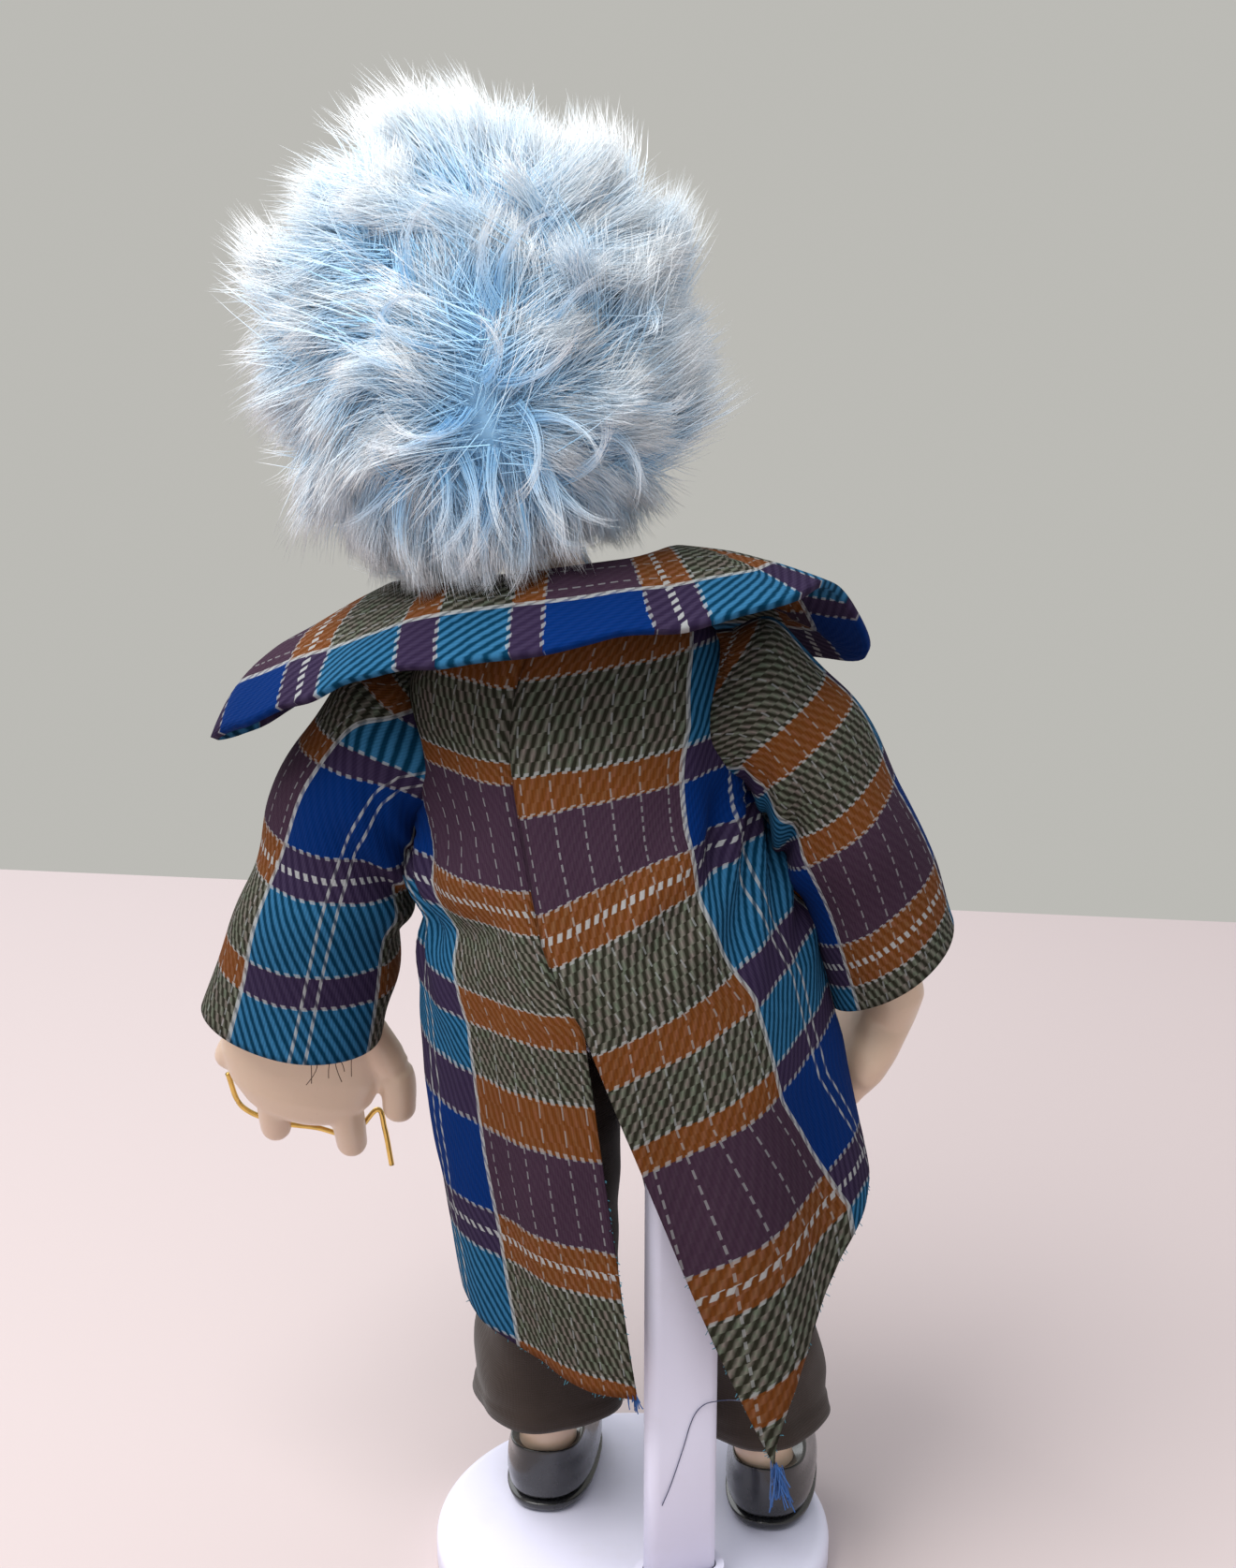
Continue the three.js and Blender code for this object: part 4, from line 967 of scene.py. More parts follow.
def collar_plaid(points):
    """Bands run along the collar from its left tip, with a blue column along the outer edge."""
    line = np.array([tuple(p) for p in curve_through(COLLAR_EDGE, EDGE_MARKS)])
    along = np.concatenate([[0], np.cumsum(np.linalg.norm(np.diff(line, axis=0), axis=1))])
    along -= along[int(EDGE_MARKS * COLLAR_TIP / (len(COLLAR_EDGE) - 1))]

    def mark(p):
        gap = np.linalg.norm(line - np.array(p), axis=1)
        k = int(np.argmin(gap))
        return (COLLAR_BLUE - gap[k]) / 100, (along[k] - COLLAR_BAND_SHIFT) * COLLAR_BAND_SCALE / 100

    return [[mark(p) for p in row] for row in points]


def eased_share(rows, u, column):
    """Value of a column at a share u, averaged over a short stretch."""
    return sum(at(rows, u + step, column) for step in (-0.03, -0.015, 0, 0.015, 0.03)) / 5


def collar_point(start, end, u, v):
    """A point of the collar: u round from the left front, v out from the neck."""
    p = start.lerp(end, v)
    full = 1 - v ** eased_share(COLLAR_FALL, u, 2)
    p.z += eased_share(COLLAR_FALL, u, 1) * ramp(0, 0.34, v) * full + 0.9 * v * math.sin(34 * u)
    p.z += ripple(p.x, p.y, 0, 15, 1.3) * v
    return p


def make_collar():
    twill = material(plaid_twill)
    columns, rows = 180, 44
    neck, edge = (curve_through(line, columns) for line in (COLLAR_NECK, COLLAR_EDGE))
    ends = list(zip(neck, edge, steps(0, 1, columns)))
    points = [[collar_point(*end, v) for end in ends] for v in steps(0, 1, rows)]
    collar = cloth_piece("collar_cloth", placed(UPPER, points), collar_plaid(points), thickness=COLLAR_CLOTH)
    dress(collar, twill, "torso", ["coat_collar"])

    for side, name in SIDE_NAMES.items():
        points, marks = [], []
        for z in steps(LAPEL_TOP, LAPEL_TIP, 48):
            wide = mix(4, 24, ramp(205, 248, z))
            edge = front_edge(z) + 3
            points.append([])
            marks.append([])
            for t in steps(0, 1, 14):
                turn = side * mix(edge - wide, edge, t)
                lift = 2.0 + math.sin(math.pi * t) + ripple(turn, z, side, 14, 0.5)
                points[-1].append(coat_point(turn, z, lift))
                marks[-1].append(((0.3 - t * wide * 0.8) / 100 - 0.04, (z - 214) / 100))
        lapel = cloth_piece(f"lapel_{name}_cloth", placed(UPPER, points), marks, thickness=LAPEL_CLOTH)
        dress(lapel, twill, "torso", [f"coat_lapel_{name}"])


# Sleeves, in the leaning frame: outer x and z, inner x and z, half-depth, y

SLEEVE_ROWS = {
    LEFT: ((45.3, 268, 45.3, 227, 19, 0), (59, 266.5, 47.2, 221.5, 20.5, 0), (74, 255, 50.6, 212.5, 21.5, -1),
           (87, 237, 54.4, 203, 22, -3), (98, 218, 59.5, 191, 22.4, -4.5),
           (109, 198.5, 64.8, 177.5, 23, -6.5), (119.5, 179.5, 69.4, 164.5, 23.6, -8)),
    RIGHT: ((45.3, 268, 45.3, 227, 19, 0), (57, 266.5, 46.8, 221.5, 20.5, 0), (68, 255, 49.4, 212, 21.5, -2),
            (77, 238, 51.8, 203, 22, -5), (84, 219, 54.2, 191, 22, -8.5), (89.5, 199, 56.2, 177.5, 22.4, -12),
            (93.5, 180, 57.4, 163.5, 23, -15.5)),
}
CUFF_DIP = 4.5
SLEEVE_RADIUS = 22
SLEEVE_HALF_ROUND = 71.0

# Plaid height at each cuff, and how far the blue column starts from the sleeve's outer edge
CUFF_PLAID = {LEFT: (63, 22), RIGHT: (21, 23)}

# Points of the left cuff's ring that loose threads leave
CUFF_THREADS = (30, 31, 33, 34, 35, 37)


def sleeve_rings(side, count=64, around=96):
    """Rings of the sleeve from the armhole to the cuff, each from its outer edge round the back."""
    rows = SLEEVE_ROWS[side]
    outer = curve_through([(r[0], r[5], r[1]) for r in rows], count)
    inner = curve_through([(r[2], r[5], r[3]) for r in rows], count)
    rings = []
    for s, out, within in zip(steps(0, 1, count), outer, inner):
        depth = float(np.interp(s, np.linspace(0, 1, len(rows)), [r[4] for r in rows]))
        centre = (out + within) / 2
        reach = (out - within) / 2
        ring = []
        for t in circle(around):
            across, back = math.cos(t), math.sin(t)
            inside = 0.5 - 0.5 * across
            bend = 2.6 * inside ** 2 * bell(s, 0.34, 0.2) * math.sin(30 * s + 2.2 * across)
            elbow = 1.1 * bell(s, 0.55, 0.25) * math.sin(17 * s + 2 * t)
            cuff = 0.9 * ramp(0.8, 1.0, s) * math.sin(3 * t + side)
            small = ripple(9 * across + 30 * side, 9 * back, 42 * s, 7, 0.9)
            head = 4.0 * bell(s, 0.1, 0.11) * max(0.0, across)
            swell = 1 + (bend + elbow + cuff + head + small * ramp(0, 0.15, s)) / SLEEVE_RADIUS
            p = centre + reach * (across * swell) + Vector((0, depth * back * swell, 0))
            dip = CUFF_DIP * ramp(0.55, 1.0, s) * back
            ring.append(Vector((side * p.x, p.y, p.z - dip)))
        rings.append(ring)
    start = [armhole_point(side, p.z, 1 if p.y >= 0 else -1) for p in rings[0]]
    return [[a.lerp(b, t) for a, b in zip(start, rings[0])] for t in (0, 0.25, 0.5, 0.75)] + rings


def armhole_point(side, z, half):
    """A point just under the coat's edge round an armhole; half is +1 at the back and -1 at the front."""
    return creased_point(side * (90 - half * (armhole(z) + 3)), z, -0.9)


def sleeve_plaid(side, rings):
    """The plaid round a sleeve, measured up from its cuff, with the first column again at the end."""
    cuff_band, border = CUFF_PLAID[side]
    count = len(rings[0])
    up = [0.0] * count
    marks = []
    for i in reversed(range(len(rings))):
        if i + 1 < len(rings):
            up = [far + (p - q).length for far, p, q in zip(up, rings[i], rings[i + 1])]
        row = []
        for j in range(count + 1):
            from_outer = 2 * SLEEVE_HALF_ROUND * j / count
            u = BLUE_WIDTH + border - from_outer if side == LEFT else from_outer + border - SLEEVE_HALF_ROUND
            row.append((u / 100, (cuff_band - up[j % count]) / 100))
        marks.insert(0, row)
    return marks


def make_sleeves():
    twill = material(plaid_twill)
    for side, name in SIDE_NAMES.items():
        rings = sleeve_rings(side)
        rolled = [ring + [ring[0]] for ring in rings]
        marks = sleeve_plaid(side, rings)
        sleeve = cloth_piece(f"{name}_sleeve_cloth", placed(UPPER, rolled), marks, seam=True)
        dress(sleeve, twill, None, [f"{name}_sleeve"])
        trim = []
        if side == LEFT:
            ends = loose_ends([rings[-1][j] for j in CUFF_THREADS], (2.5, 5), (0, 0.1, -1), 61, 0.3, 0.5)
            trim = [yarn_piece("left_cuff_threads", ends, "dark yarn", "left_arm")]
        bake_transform(sleeve)


# Stand: profile points are radius and height

BASE_RADIUS, BASE_TOP, BASE_ROUNDING = 57.5, 10.0, 4
BASE_FOOT = ((56.6, 0.0), (57.2, 0.25), (57.5, 0.9))
BASE_FLAT = (44, 30, 15, 4)
POST_PLACE = (0, 36.95)
POST_HALF_WIDTH, POST_HALF_DEPTH, POST_CORNER = 10, 4, 3
POST_BOTTOM, POST_TOP, POST_ROUNDING = 10.4, 196, 1.2


def post_ring(z, shrink):
    """A ring of the post: a rectangle with rounded corners, made smaller by shrink."""
    x, y = POST_PLACE
    inset = shrink + POST_CORNER
    points = []
    for k, (sx, sy) in enumerate(((1, 1), (-1, 1), (-1, -1), (1, -1))):
        for t in steps(math.pi / 2 * k, math.pi / 2 * (k + 1), 8):
            points.append((x + sx * (POST_HALF_WIDTH - inset) + POST_CORNER * math.cos(t),
                           y + sy * (POST_HALF_DEPTH - inset) + POST_CORNER * math.sin(t), z))
    return points


def make_stand():
    plastic = material(moulded_plastic)
    rim, level = BASE_RADIUS - BASE_ROUNDING, BASE_TOP - BASE_ROUNDING
    profile = [*BASE_FOOT, (BASE_RADIUS, level)]
    profile += [(rim + BASE_ROUNDING * math.cos(t), level + BASE_ROUNDING * math.sin(t))
                for t in np.linspace(0.12, math.pi / 2, 9)]
    profile += [(radius, BASE_TOP) for radius in BASE_FLAT]
    levels = [(POST_BOTTOM, 0), (60, 0), (120, 0)]
    levels += [(POST_TOP - POST_ROUNDING * (1 - math.sin(t)), POST_ROUNDING * (1 - math.cos(t)))
               for t in np.linspace(0, math.pi / 2, 5)]
    casts = {"stand_base": lathe(profile, 128), "stand_post": [post_ring(*row) for row in levels]}
    for node, rings in casts.items():
        piece = closed_piece(f"{node}_cast", placed(STAND_TURN, rings))
        dress(piece, plastic, "stand", [node])
    for node in ("stand_socket", "stand_slider", "stand_clip"):
        repaint(node, plastic)


# Trousers, legs and shoes: rows of height, half-width and half-depth unless said otherwise

GROUND = 10.6
HIP_Z = 139.2
HIPS = {LEFT: 23, RIGHT: -19}
FEET = {LEFT: 27, RIGHT: -41}
ANKLE_Y = -9
FOOT_LEVEL, ANKLE_LEVEL = 20.6, 30.95
HEM_Z = 46
HIP_HALF_WIDTH, HIP_ROUND = 19.3, 22
TROUSER_ROWS = ((HEM_Z, 21.5, 20.5), (70, 20.8, 20), (95, 20, 20.2), (120, 19.6, 21.2), (HIP_Z, 19.6, 22))
TROUSER_CLOTH = 0.0009
SHIN_BOTTOM, SHIN_TOP = 26.95, 85.4
SHIN_ROWS = ((SHIN_BOTTOM, 8.6, 9.2), (36.95, 8.2, 8.6), (52, 9.4, 9.8), (68, 10.5, 10.5), (80, 9.6, 9.6),
             (SHIN_TOP, 9.2, 9.2))

# Shoe rows: rise over the sole, half-width, heel and toe from the ankle. Sole rows: height, growth
SHOE_BOTTOM, SHOE_RISE = 13.95, 17
SHOE_ROWS = ((0, 12.8, 10.8, -39.7), (5, 13.5, 11.5, -40.3), (9, 13.1, 11.4, -37.9),
             (12.5, 11.9, 11.2, -31.5), (15, 11.1, 11, -20.5), (SHOE_RISE, 10.7, 10.9, -12))
SHOE_LIP = (31.25, 10.2, 10.4, -11.4)
SHOE_INSIDE = (28, 9.1, 9.7)
SHOE_SQUARENESS = 2.5
SOLE = (13.5, 11.5, -40.5)
SOLE_ROWS = ((GROUND, -1.4), (11.0, -0.9), (11.6, -0.5), (13.2, 0), (13.6, -0.3))

# Seat rows: height, x of the middle, half-width, half-depth. Waistband rows: height, growth
SEAT_BOTTOM, SEAT_TOP = 161.6, 196
SEAT_ROWS = ((SEAT_BOTTOM, 3.8, 27.9, 21.5), (172, 5.2, 27.9, 21.2), (184, 6.8, 27.1, 20.6),
             (SEAT_TOP, 8.4, 26.3, 20))
WAISTBAND_ROWS = ((196.4, -0.3), (196.8, 0.1), (198, 0.3), (201, 0.3), (202.1, 0.1), (202.5, -0.3),
                  (202.0, -1.4), (196.9, -1.4))
WAIST_HALF_WIDTH, WAIST_HALF_DEPTH, WAIST_LEAN = 26.6, 20.6, 0.14


def leg_x(side, z):
    return mix(FEET[side], HIPS[side], (z - GROUND) / (HIP_Z - GROUND))


def leg_y(z):
    return mix(ANKLE_Y, 0, (z - GROUND) / (HIP_Z - GROUND))


def trouser_ring(side, z, a, b):
    """A ring of a trouser leg, with drag folds and a turned hem."""
    low = 1 - ramp(60, 134, z)
    hem = 0.5 * (1 - ramp(50.5, 51.2, z))

    def point(t):
        fold = 1.5 * low * math.sin(4 * t + 0.03 * z + side) + 0.9 * low * math.sin(0.22 * z + 2 * t)
        small = ripple(12 * math.cos(t) + 40 * side, 12 * math.sin(t), 0.5 * z, 6, 0.8) * ramp(152, 128, z)
        out = fold * 0.75 + small + hem - 0.5
        return leg_x(side, z) + (a + out) * math.cos(t), 0.6 * leg_y(z) + (b + out) * math.sin(t)

    return ring_at(z, 80, point)


def seat_ring(z):
    """A ring of the trousers' seat, gathered under the waistband."""
    middle, a, b = (at(SEAT_ROWS, z, column) for column in (1, 2, 3))

    def point(t):
        gather = 0.5 * math.sin(14 * t + 0.8 * math.sin(z / 5)) * ramp(162, 190, z)
        out = gather + ripple(20 * math.cos(t), 20 * math.sin(t), z, 9, 0.5) - 0.5
        return middle + (a + out) * math.cos(t), (b + out) * math.sin(t)

    return ring_at(z, 80, point)


def waist_ring(z, grow):
    middle = SEAT_ROWS[-1][1] + WAIST_LEAN * (z - SEAT_TOP)
    a, b = WAIST_HALF_WIDTH + grow, WAIST_HALF_DEPTH + grow
    return ring_at(z, 96, lambda t: (middle + a * math.cos(t), b * math.sin(t)))


def make_trousers():
    cloth = material(plain_weave, "trouser cloth", tuple(colours().trousers), TROUSER_WEAVE)
    levels = []
    for turn in steps(72, 4, 14)[:-1]:
        rise = math.radians(turn)
        levels.append((HIP_Z + HIP_ROUND * math.sin(rise), HIP_HALF_WIDTH, HIP_ROUND * math.cos(rise)))
    levels += [(z, eased(TROUSER_ROWS, z), eased(TROUSER_ROWS, z, 2)) for z in steps(HIP_Z, HEM_Z, 70)]
    for side, name in SIDE_NAMES.items():
        rings = placed(UPRIGHT, [trouser_ring(side, *level) for level in levels])
        leg = cloth_piece(f"{name}_trouser_cloth", rings, around=True, thickness=TROUSER_CLOTH)
        dress(leg, cloth, f"{name}_leg", [f"{name}_trouser_leg"])

    rings = placed(UPRIGHT, [seat_ring(z) for z in steps(SEAT_TOP, SEAT_BOTTOM, 24)])
    seat = cloth_piece("trousers_seat_cloth", rings, around=True, thickness=TROUSER_CLOTH)
    dress(seat, cloth, "torso", ["trousers_seat"])

    rings = placed(UPRIGHT, [waist_ring(*row) for row in (*WAISTBAND_ROWS, WAISTBAND_ROWS[0])])
    band = grid_piece("waistband_cloth", rings, around=True)
    join_seam(band)
    face_outwards(band)
    dress(band, cloth, "torso", ["waistband"])


def shoe_outline(side, z, half, heel, toe):
    """A rounded-square outline of the foot."""
    ankle_x, ankle_y = leg_x(side, FOOT_LEVEL), leg_y(ANKLE_LEVEL)
    middle, length = ankle_y + (heel + toe) / 2, (heel - toe) / 2

    def point(t):
        c, s = math.cos(t), math.sin(t)
        square = (abs(c) ** SHOE_SQUARENESS + abs(s) ** SHOE_SQUARENESS) ** (-1 / SHOE_SQUARENESS)
        return ankle_x + half * c * square, middle + length * s * square

    return ring_at(z, 72, point)


def leg_ring(side, z, a, b, count):
    return ring_at(z, count, lambda t: (leg_x(side, z) + a * math.cos(t), leg_y(z) + b * math.sin(t)))


def shoe_rings(side):
    """Rings of a shoe from its sole up to the lip and down inside."""
    rings = []
    for rise in np.linspace(0, SHOE_RISE, 26):
        half, heel, toe = (at(SHOE_ROWS, rise, column) for column in (1, 2, 3))
        tuck = 0.9 * max(0.0, 1 - rise / 1.5) ** 2
        rings.append(shoe_outline(side, SHOE_BOTTOM + rise, half - tuck, heel - tuck, toe + tuck))
    return rings + [shoe_outline(side, *SHOE_LIP), leg_ring(side, *SHOE_INSIDE, 72)]


def make_legs():
    porcelain = material(painted_porcelain)
    black = material(black_glaze)
    for side, name in SIDE_NAMES.items():
        shins = [leg_ring(side, z, eased(SHIN_ROWS, z), eased(SHIN_ROWS, z, 2), 56)
                 for z in steps(SHIN_BOTTOM, SHIN_TOP, 48)]
        shin = closed_piece(f"{name}_shin_cast", placed(UPRIGHT, shins))
        dress(shin, porcelain, f"{name}_leg", [f"{name}_lower_leg"])

        shoe = closed_piece(f"{name}_shoe_cast", placed(UPRIGHT, shoe_rings(side)))
        modifier(shoe, "SMOOTH", factor=0.5, iterations=4)
        settle(shoe)
        dress(shoe, black, f"{name}_leg", [f"{name}_shoe"])

        half, heel, toe = SOLE
        soles = [shoe_outline(side, z, half + grow, heel + grow, toe - grow) for z, grow in SOLE_ROWS]
        sole = closed_piece(f"{name}_sole_cast", placed(UPRIGHT, soles))
        dress(sole, black, f"{name}_leg", [f"{name}_shoe_sole"])

    body = material(plain_weave, "body cloth", BODY_CLOTH)
    repaint("torso", body)
    for name in SIDE_NAMES.values():
        for limb in ("upper_arm", "upper_leg", "arm_binding", "leg_binding"):
            repaint(f"{name}_{limb}", body)
    repaint("shoulder_plate", porcelain)


# Hands, in the leaning frame. Rows: fall from the wrist, half-width, half-thickness, shift to the hand's back

ELBOW_Z = 220
WRIST_Z = {LEFT: 188, RIGHT: 160}
ELBOW_BALL = 8
ARM_RADIUS = 8.2
HAND_ROWS = ((0, 8, 8, 0), (7, 10.3, 8.2, -0.6), (13, 16.7, 8.2, -1.4), (18, 21.1, 8.5, -2.4),
             (25, 24.5, 8.5, -4), (34, 24.5, 8.5, -6), (43, 21.6, 8, -8.5),
             (50, 16.7, 6.5, -11), (53.5, 9.8, 4.1, -12.2))

# Fingers and thumb: base, bend, tip, radius at the base and at the tip
DIGITS = (((29, 16, -6), (34, 21, -8), (39, 23.5, -11), 4.6, 4.1),
          ((45, 8, -9), (53, 8.6, -12.5), (62, 8.5, -18), 5, 4.4),
          ((46, -3, -11), (51, -3.3, -15), (55, -3.5, -21), 4.6, 4.3),
          ((44, -13, -9), (53, -14.4, -12.5), (62, -15, -18), 5, 4.4),
          ((18, -18, -3), (31, -27.5, -6), (43.5, -29.5, -9), 5.4, 4.7))
DIGIT_STEPS = 12

# The rounded end of a digit: way past its tip and radius, as shares of the tip's radius
DIGIT_END = ((0.35, 0.93), (0.6, 0.7), (0.75, 0.36))
WIRE_PATH = ((45, 23.5, -12), (56, 19, -15), (60, 8.5, -17.5), (60.5, -3, -20), (59, -14.6, -17.5),
             (49, -21.5, -16.5), (55, -24.5, -17), (66, -28, -17))
HAND_VOXEL = 0.0009

# Each hand's axes: the way it falls, across its palm and out of its back, and how far it is opened and spread
HAND_AXES = {
    LEFT: (Vector((0.29, 0, -0.957)), Vector((0.957, 0, 0.29)), Vector((0, 1, 0)), 1.0, 1.0),
    RIGHT: (Vector((0.4, -0.52, -0.755)), Vector((0.1, 0.84, -0.53)), Vector((-0.91, -0.14, -0.39)),
            0.64, 0.86),
}


def arm_middle(side, z):
    """The middle of the sleeve at a height, where the arm runs."""
    rows = [((r[1] + r[3]) / 2, (r[0] + r[2]) / 2, r[5]) for r in reversed(SLEEVE_ROWS[side])]
    return Vector((side * at(rows, z, 1), at(rows, z, 2), z))


def hand_point(side, fall, x, y):
    """A point of the hand: fall from the wrist, x across the palm from the thumb, y to the hand's back."""
    drop, wide, back, stretch, spread = HAND_AXES[side]
    middle = arm_middle(side, WRIST_Z[side] - min(fall, 0)) + drop * (max(fall, 0) * stretch)
    return middle + wide * (x * spread) + back * (y * stretch)


def palm_rings(side):
    """Rings from the elbow's ball down the forearm to the end of the palm."""
    _, wide, _, _, spread = HAND_AXES[side]
    reach = ELBOW_Z - WRIST_Z[side]
    rows = []
    for t in (1.25, 0.85, 0.4, 0):
        r = ELBOW_BALL * math.cos(t)
        rows.append((-reach - 0.94 * ELBOW_BALL * math.sin(t), r, r, 0))
    rows += [(6 - reach, ELBOW_BALL, ELBOW_BALL, 0), (-reach / 2, ARM_RADIUS, ARM_RADIUS, 0), *HAND_ROWS]
    runs = runs_along([hand_point(side, fall, 0, y) for fall, _, _, y in rows])
    return [ring_about(hand_point(side, fall, 0, y), run, wide, a * (spread if fall > 0 else 1), b, 28)
            for (fall, a, b, y), run in zip(rows, runs)]


def digit(side, joints, thick, thin):
    path = curve_through([hand_point(side, *p) for p in joints], DIGIT_STEPS)
    path = [UPPER @ p * MM for p in path]
    end = (path[-1] - path[-2]).normalized()
    path += [path[-1] + end * thin * MM * past for past, _ in DIGIT_END]
    widths = [w + 0.3 for w in steps(thick, thin, DIGIT_STEPS)] + [thin * share for _, share in DIGIT_END]
    return tube("digit", path, [MM * w for w in widths], 14)


def make_hands():
    porcelain = material(painted_porcelain)
    for side, name in SIDE_NAMES.items():
        hand = closed_piece(f"{name}_hand_cast", placed(UPPER, palm_rings(side)))
        merge_cast(hand, [digit(side, joints, thick, thin) for *joints, thick, thin in DIGITS], HAND_VOXEL)
        dress(hand, porcelain, f"{name}_forearm", [f"{name}_hand"])
    path = curve_through([UPPER @ hand_point(LEFT, *p) * MM for p in WIRE_PATH], 90)
    wire = tube("gold_wire_bar", path, [sizes().wire / 2] * len(path), 10)
    dress(wire, material(gold_wire), "left_forearm", ["hand_wire"])


# Shirt and bow tie, in the leaning frame: height, half-width, half-depth

SHIRT_BOTTOM, SHIRT_TOP = 199, 270
SHIRT_ROWS = ((SHIRT_BOTTOM, 24.2, 18.2), (203.4, 24.9, 18.9), (209, 26.2, 20), (222, 28.8, 20.4),
              (236, 31.4, 21.2), (250, 31.4, 20.2), (261, 27.2, 17.2), (266, 22.6, 16.5), (SHIRT_TOP, 19, 16))
SHIRT_CLOTH = 0.0007
BUTTON_HEIGHTS = (216, 229, 242)
BUTTON_PROFILE = ((1.9, 0.0), (2.1, 0.25), (2.1, 0.7), (1.8, 0.95), (1.5, 0.8), (0.4, 0.75))

# Bow: middle, knot's half-sizes, and the loops' rows of x, half-height and half-thickness
BOW = Vector((0, -20.8, 272))
KNOT = Vector((4.4, 2.8, 4.5))
BOW_INNER, BOW_OUTER = 4.75, 17.9
BOW_ROWS = ((BOW_INNER, 2.6, 1.7), (8, 5, 2.1), (12.5, 7.6, 2.3), (16.5, 8, 2), (18, 7.2, 1.2))


def shirt_ring(z):
    """A ring of the shirt, with pleats beside a raised placket at the front."""
    a, b = eased(SHIRT_ROWS, z), eased(SHIRT_ROWS, z, 2)

    def point(t):
        from_front = abs((math.degrees(t) - 270 + 180) % 360 - 180)
        pleat = 0.5 * math.sin(from_front * 1.1) * ramp(34, 26, from_front) * ramp(3, 6, from_front)
        placket = 0.7 * ramp(6.5, 5.5, from_front)
        out = 0.4 + pleat + placket + ripple(20 * math.cos(t), 20 * math.sin(t), z, 10, 0.5)
        return (a + out) * math.cos(t), (b + out) * math.sin(t)

    return ring_at(z, 120, point)


def bow_point(side, s, t):
    """A point of a bow's loop: s from the knot outwards, t round it."""
    x = mix(BOW_INNER, BOW_OUTER, s)
    tall, thick = at(BOW_ROWS, x, 1), at(BOW_ROWS, x, 2)
    gather = 1 + 0.24 * (1 - s) * math.sin(7 * t) + 0.05 * math.sin(5 * t + 3 * s)
    dip = 0.5 * math.sin(math.pi * s) * math.cos(t) ** 2
    return side * x, BOW.y + (thick - dip) * math.sin(t) * gather, BOW.z - 0.05 * x + tall * math.cos(t)


def knot_point(t, p):
    r = math.sin(t) ** 0.6
    pinch = 1 + 0.04 * math.sin(9 * p)
    return KNOT.x * r * math.cos(p) * pinch, BOW.y + KNOT.y * r * math.sin(p), BOW.z + KNOT.z * math.cos(t)


def make_shirt():
    rings = placed(UPPER, [shirt_ring(z) for z in steps(SHIRT_TOP, SHIRT_BOTTOM, 64)])
    shirt = cloth_piece("shirt_cloth", rings, around=True, thickness=SHIRT_CLOTH)
    cotton = material(plain_weave, "shirt cotton", COTTON_WHITE, COTTON_WEAVE)
    dress(shirt, cotton, "torso", ["shirt"])

    pearl = material(satin, "pearl button", PEARL)
    for i, z in enumerate(BUTTON_HEIGHTS):
        y = -eased(SHIRT_ROWS, z, 2) - 1.2
        rings = [[(r * math.cos(t), y - h, z + r * math.sin(t)) for t in circle(24)]
                 for r, h in BUTTON_PROFILE]
        dress(closed_piece(f"shirt_button_{i + 1}", placed(UPPER, rings)), pearl, "torso")

    ribbon = material(satin, "bow satin", BOW_BLUE)
    for side, name in SIDE_NAMES.items():
        rings = [[bow_point(side, s, t) for t in circle(48)] for s in steps(0, 1, 24)]
        loop = closed_piece(f"bow_{name}_loop", placed(UPPER, rings))
        dress(loop, ribbon, "torso", [f"bow_tie_{name}"])
    rings = [[knot_point(math.pi * (i + 0.5) / 19, p) for p in circle(36)] for i in range(19)]
    knot = closed_piece("bow_knot_satin", placed(UPPER, rings))
    dress(knot, ribbon, "torso", ["bow_tie_knot"])
    repaint("bow_tie_band", ribbon)
    repaint("coat_button", material(brown_horn))


# Head, in the tilted head frame: share of the height, half-width, half-depth, y

CHIN = 297
HEAD_HEIGHT = 80
HEAD_BOTTOM, HEAD_TOP = 0.004, 0.955
HEAD_ROWS = ((0, 11, 13, -10), (0.05, 18, 22, -8), (0.13, 23.6, 28.4, -5.5), (0.26, 28, 32.4, -3),
             (0.41, 30.6, 34, -1), (0.56, 31, 34, 0), (0.71, 29.4, 32.6, 1), (0.84, 24.4, 27.6, 2),
             (0.93, 17.4, 20, 2.6), (0.985, 8, 9, 3))
EYE_Z, EYE_X = 0.5, 12.2
EYE_HALF_WIDTH, EYE_HALF_HEIGHT = 5.3, 2.9
IRIS, PUPIL, GLINT = 2.5, 1.15, 0.55
MOUTH_Z = 0.24
NECK_PROFILE = ((9.4, 308), (9.4, 300), (9.4, 296))
NECK_BALL = 11
NOSE = Vector((0, -36.2, 331.4))
NOSE_RADIUS = 5.4

# Paint of the face
ROSE = (0.72, 0.22, 0.17)
EYE_WHITE = (0.83, 0.83, 0.8)
IRIS_MIDDLE, IRIS_RIM = (0.05, 0.16, 0.26), (0.16, 0.34, 0.45)
PUPIL_BLACK, GLINT_WHITE = (0.01, 0.01, 0.012), (0.9, 0.9, 0.9)
LASH_BROWN, BROW_BROWN = (0.05, 0.03, 0.025), (0.16, 0.08, 0.05)
LIP_RED, LIP_PARTING = (0.5, 0.045, 0.04), (0.2, 0.02, 0.02)


def bump_at(x, z, cx, cz, wide, tall):
    """1 in the middle of an oval, falling softly to 0 round it."""
    return math.exp(-((x - cx) / wide) ** 2 - ((z - cz) / tall) ** 2)


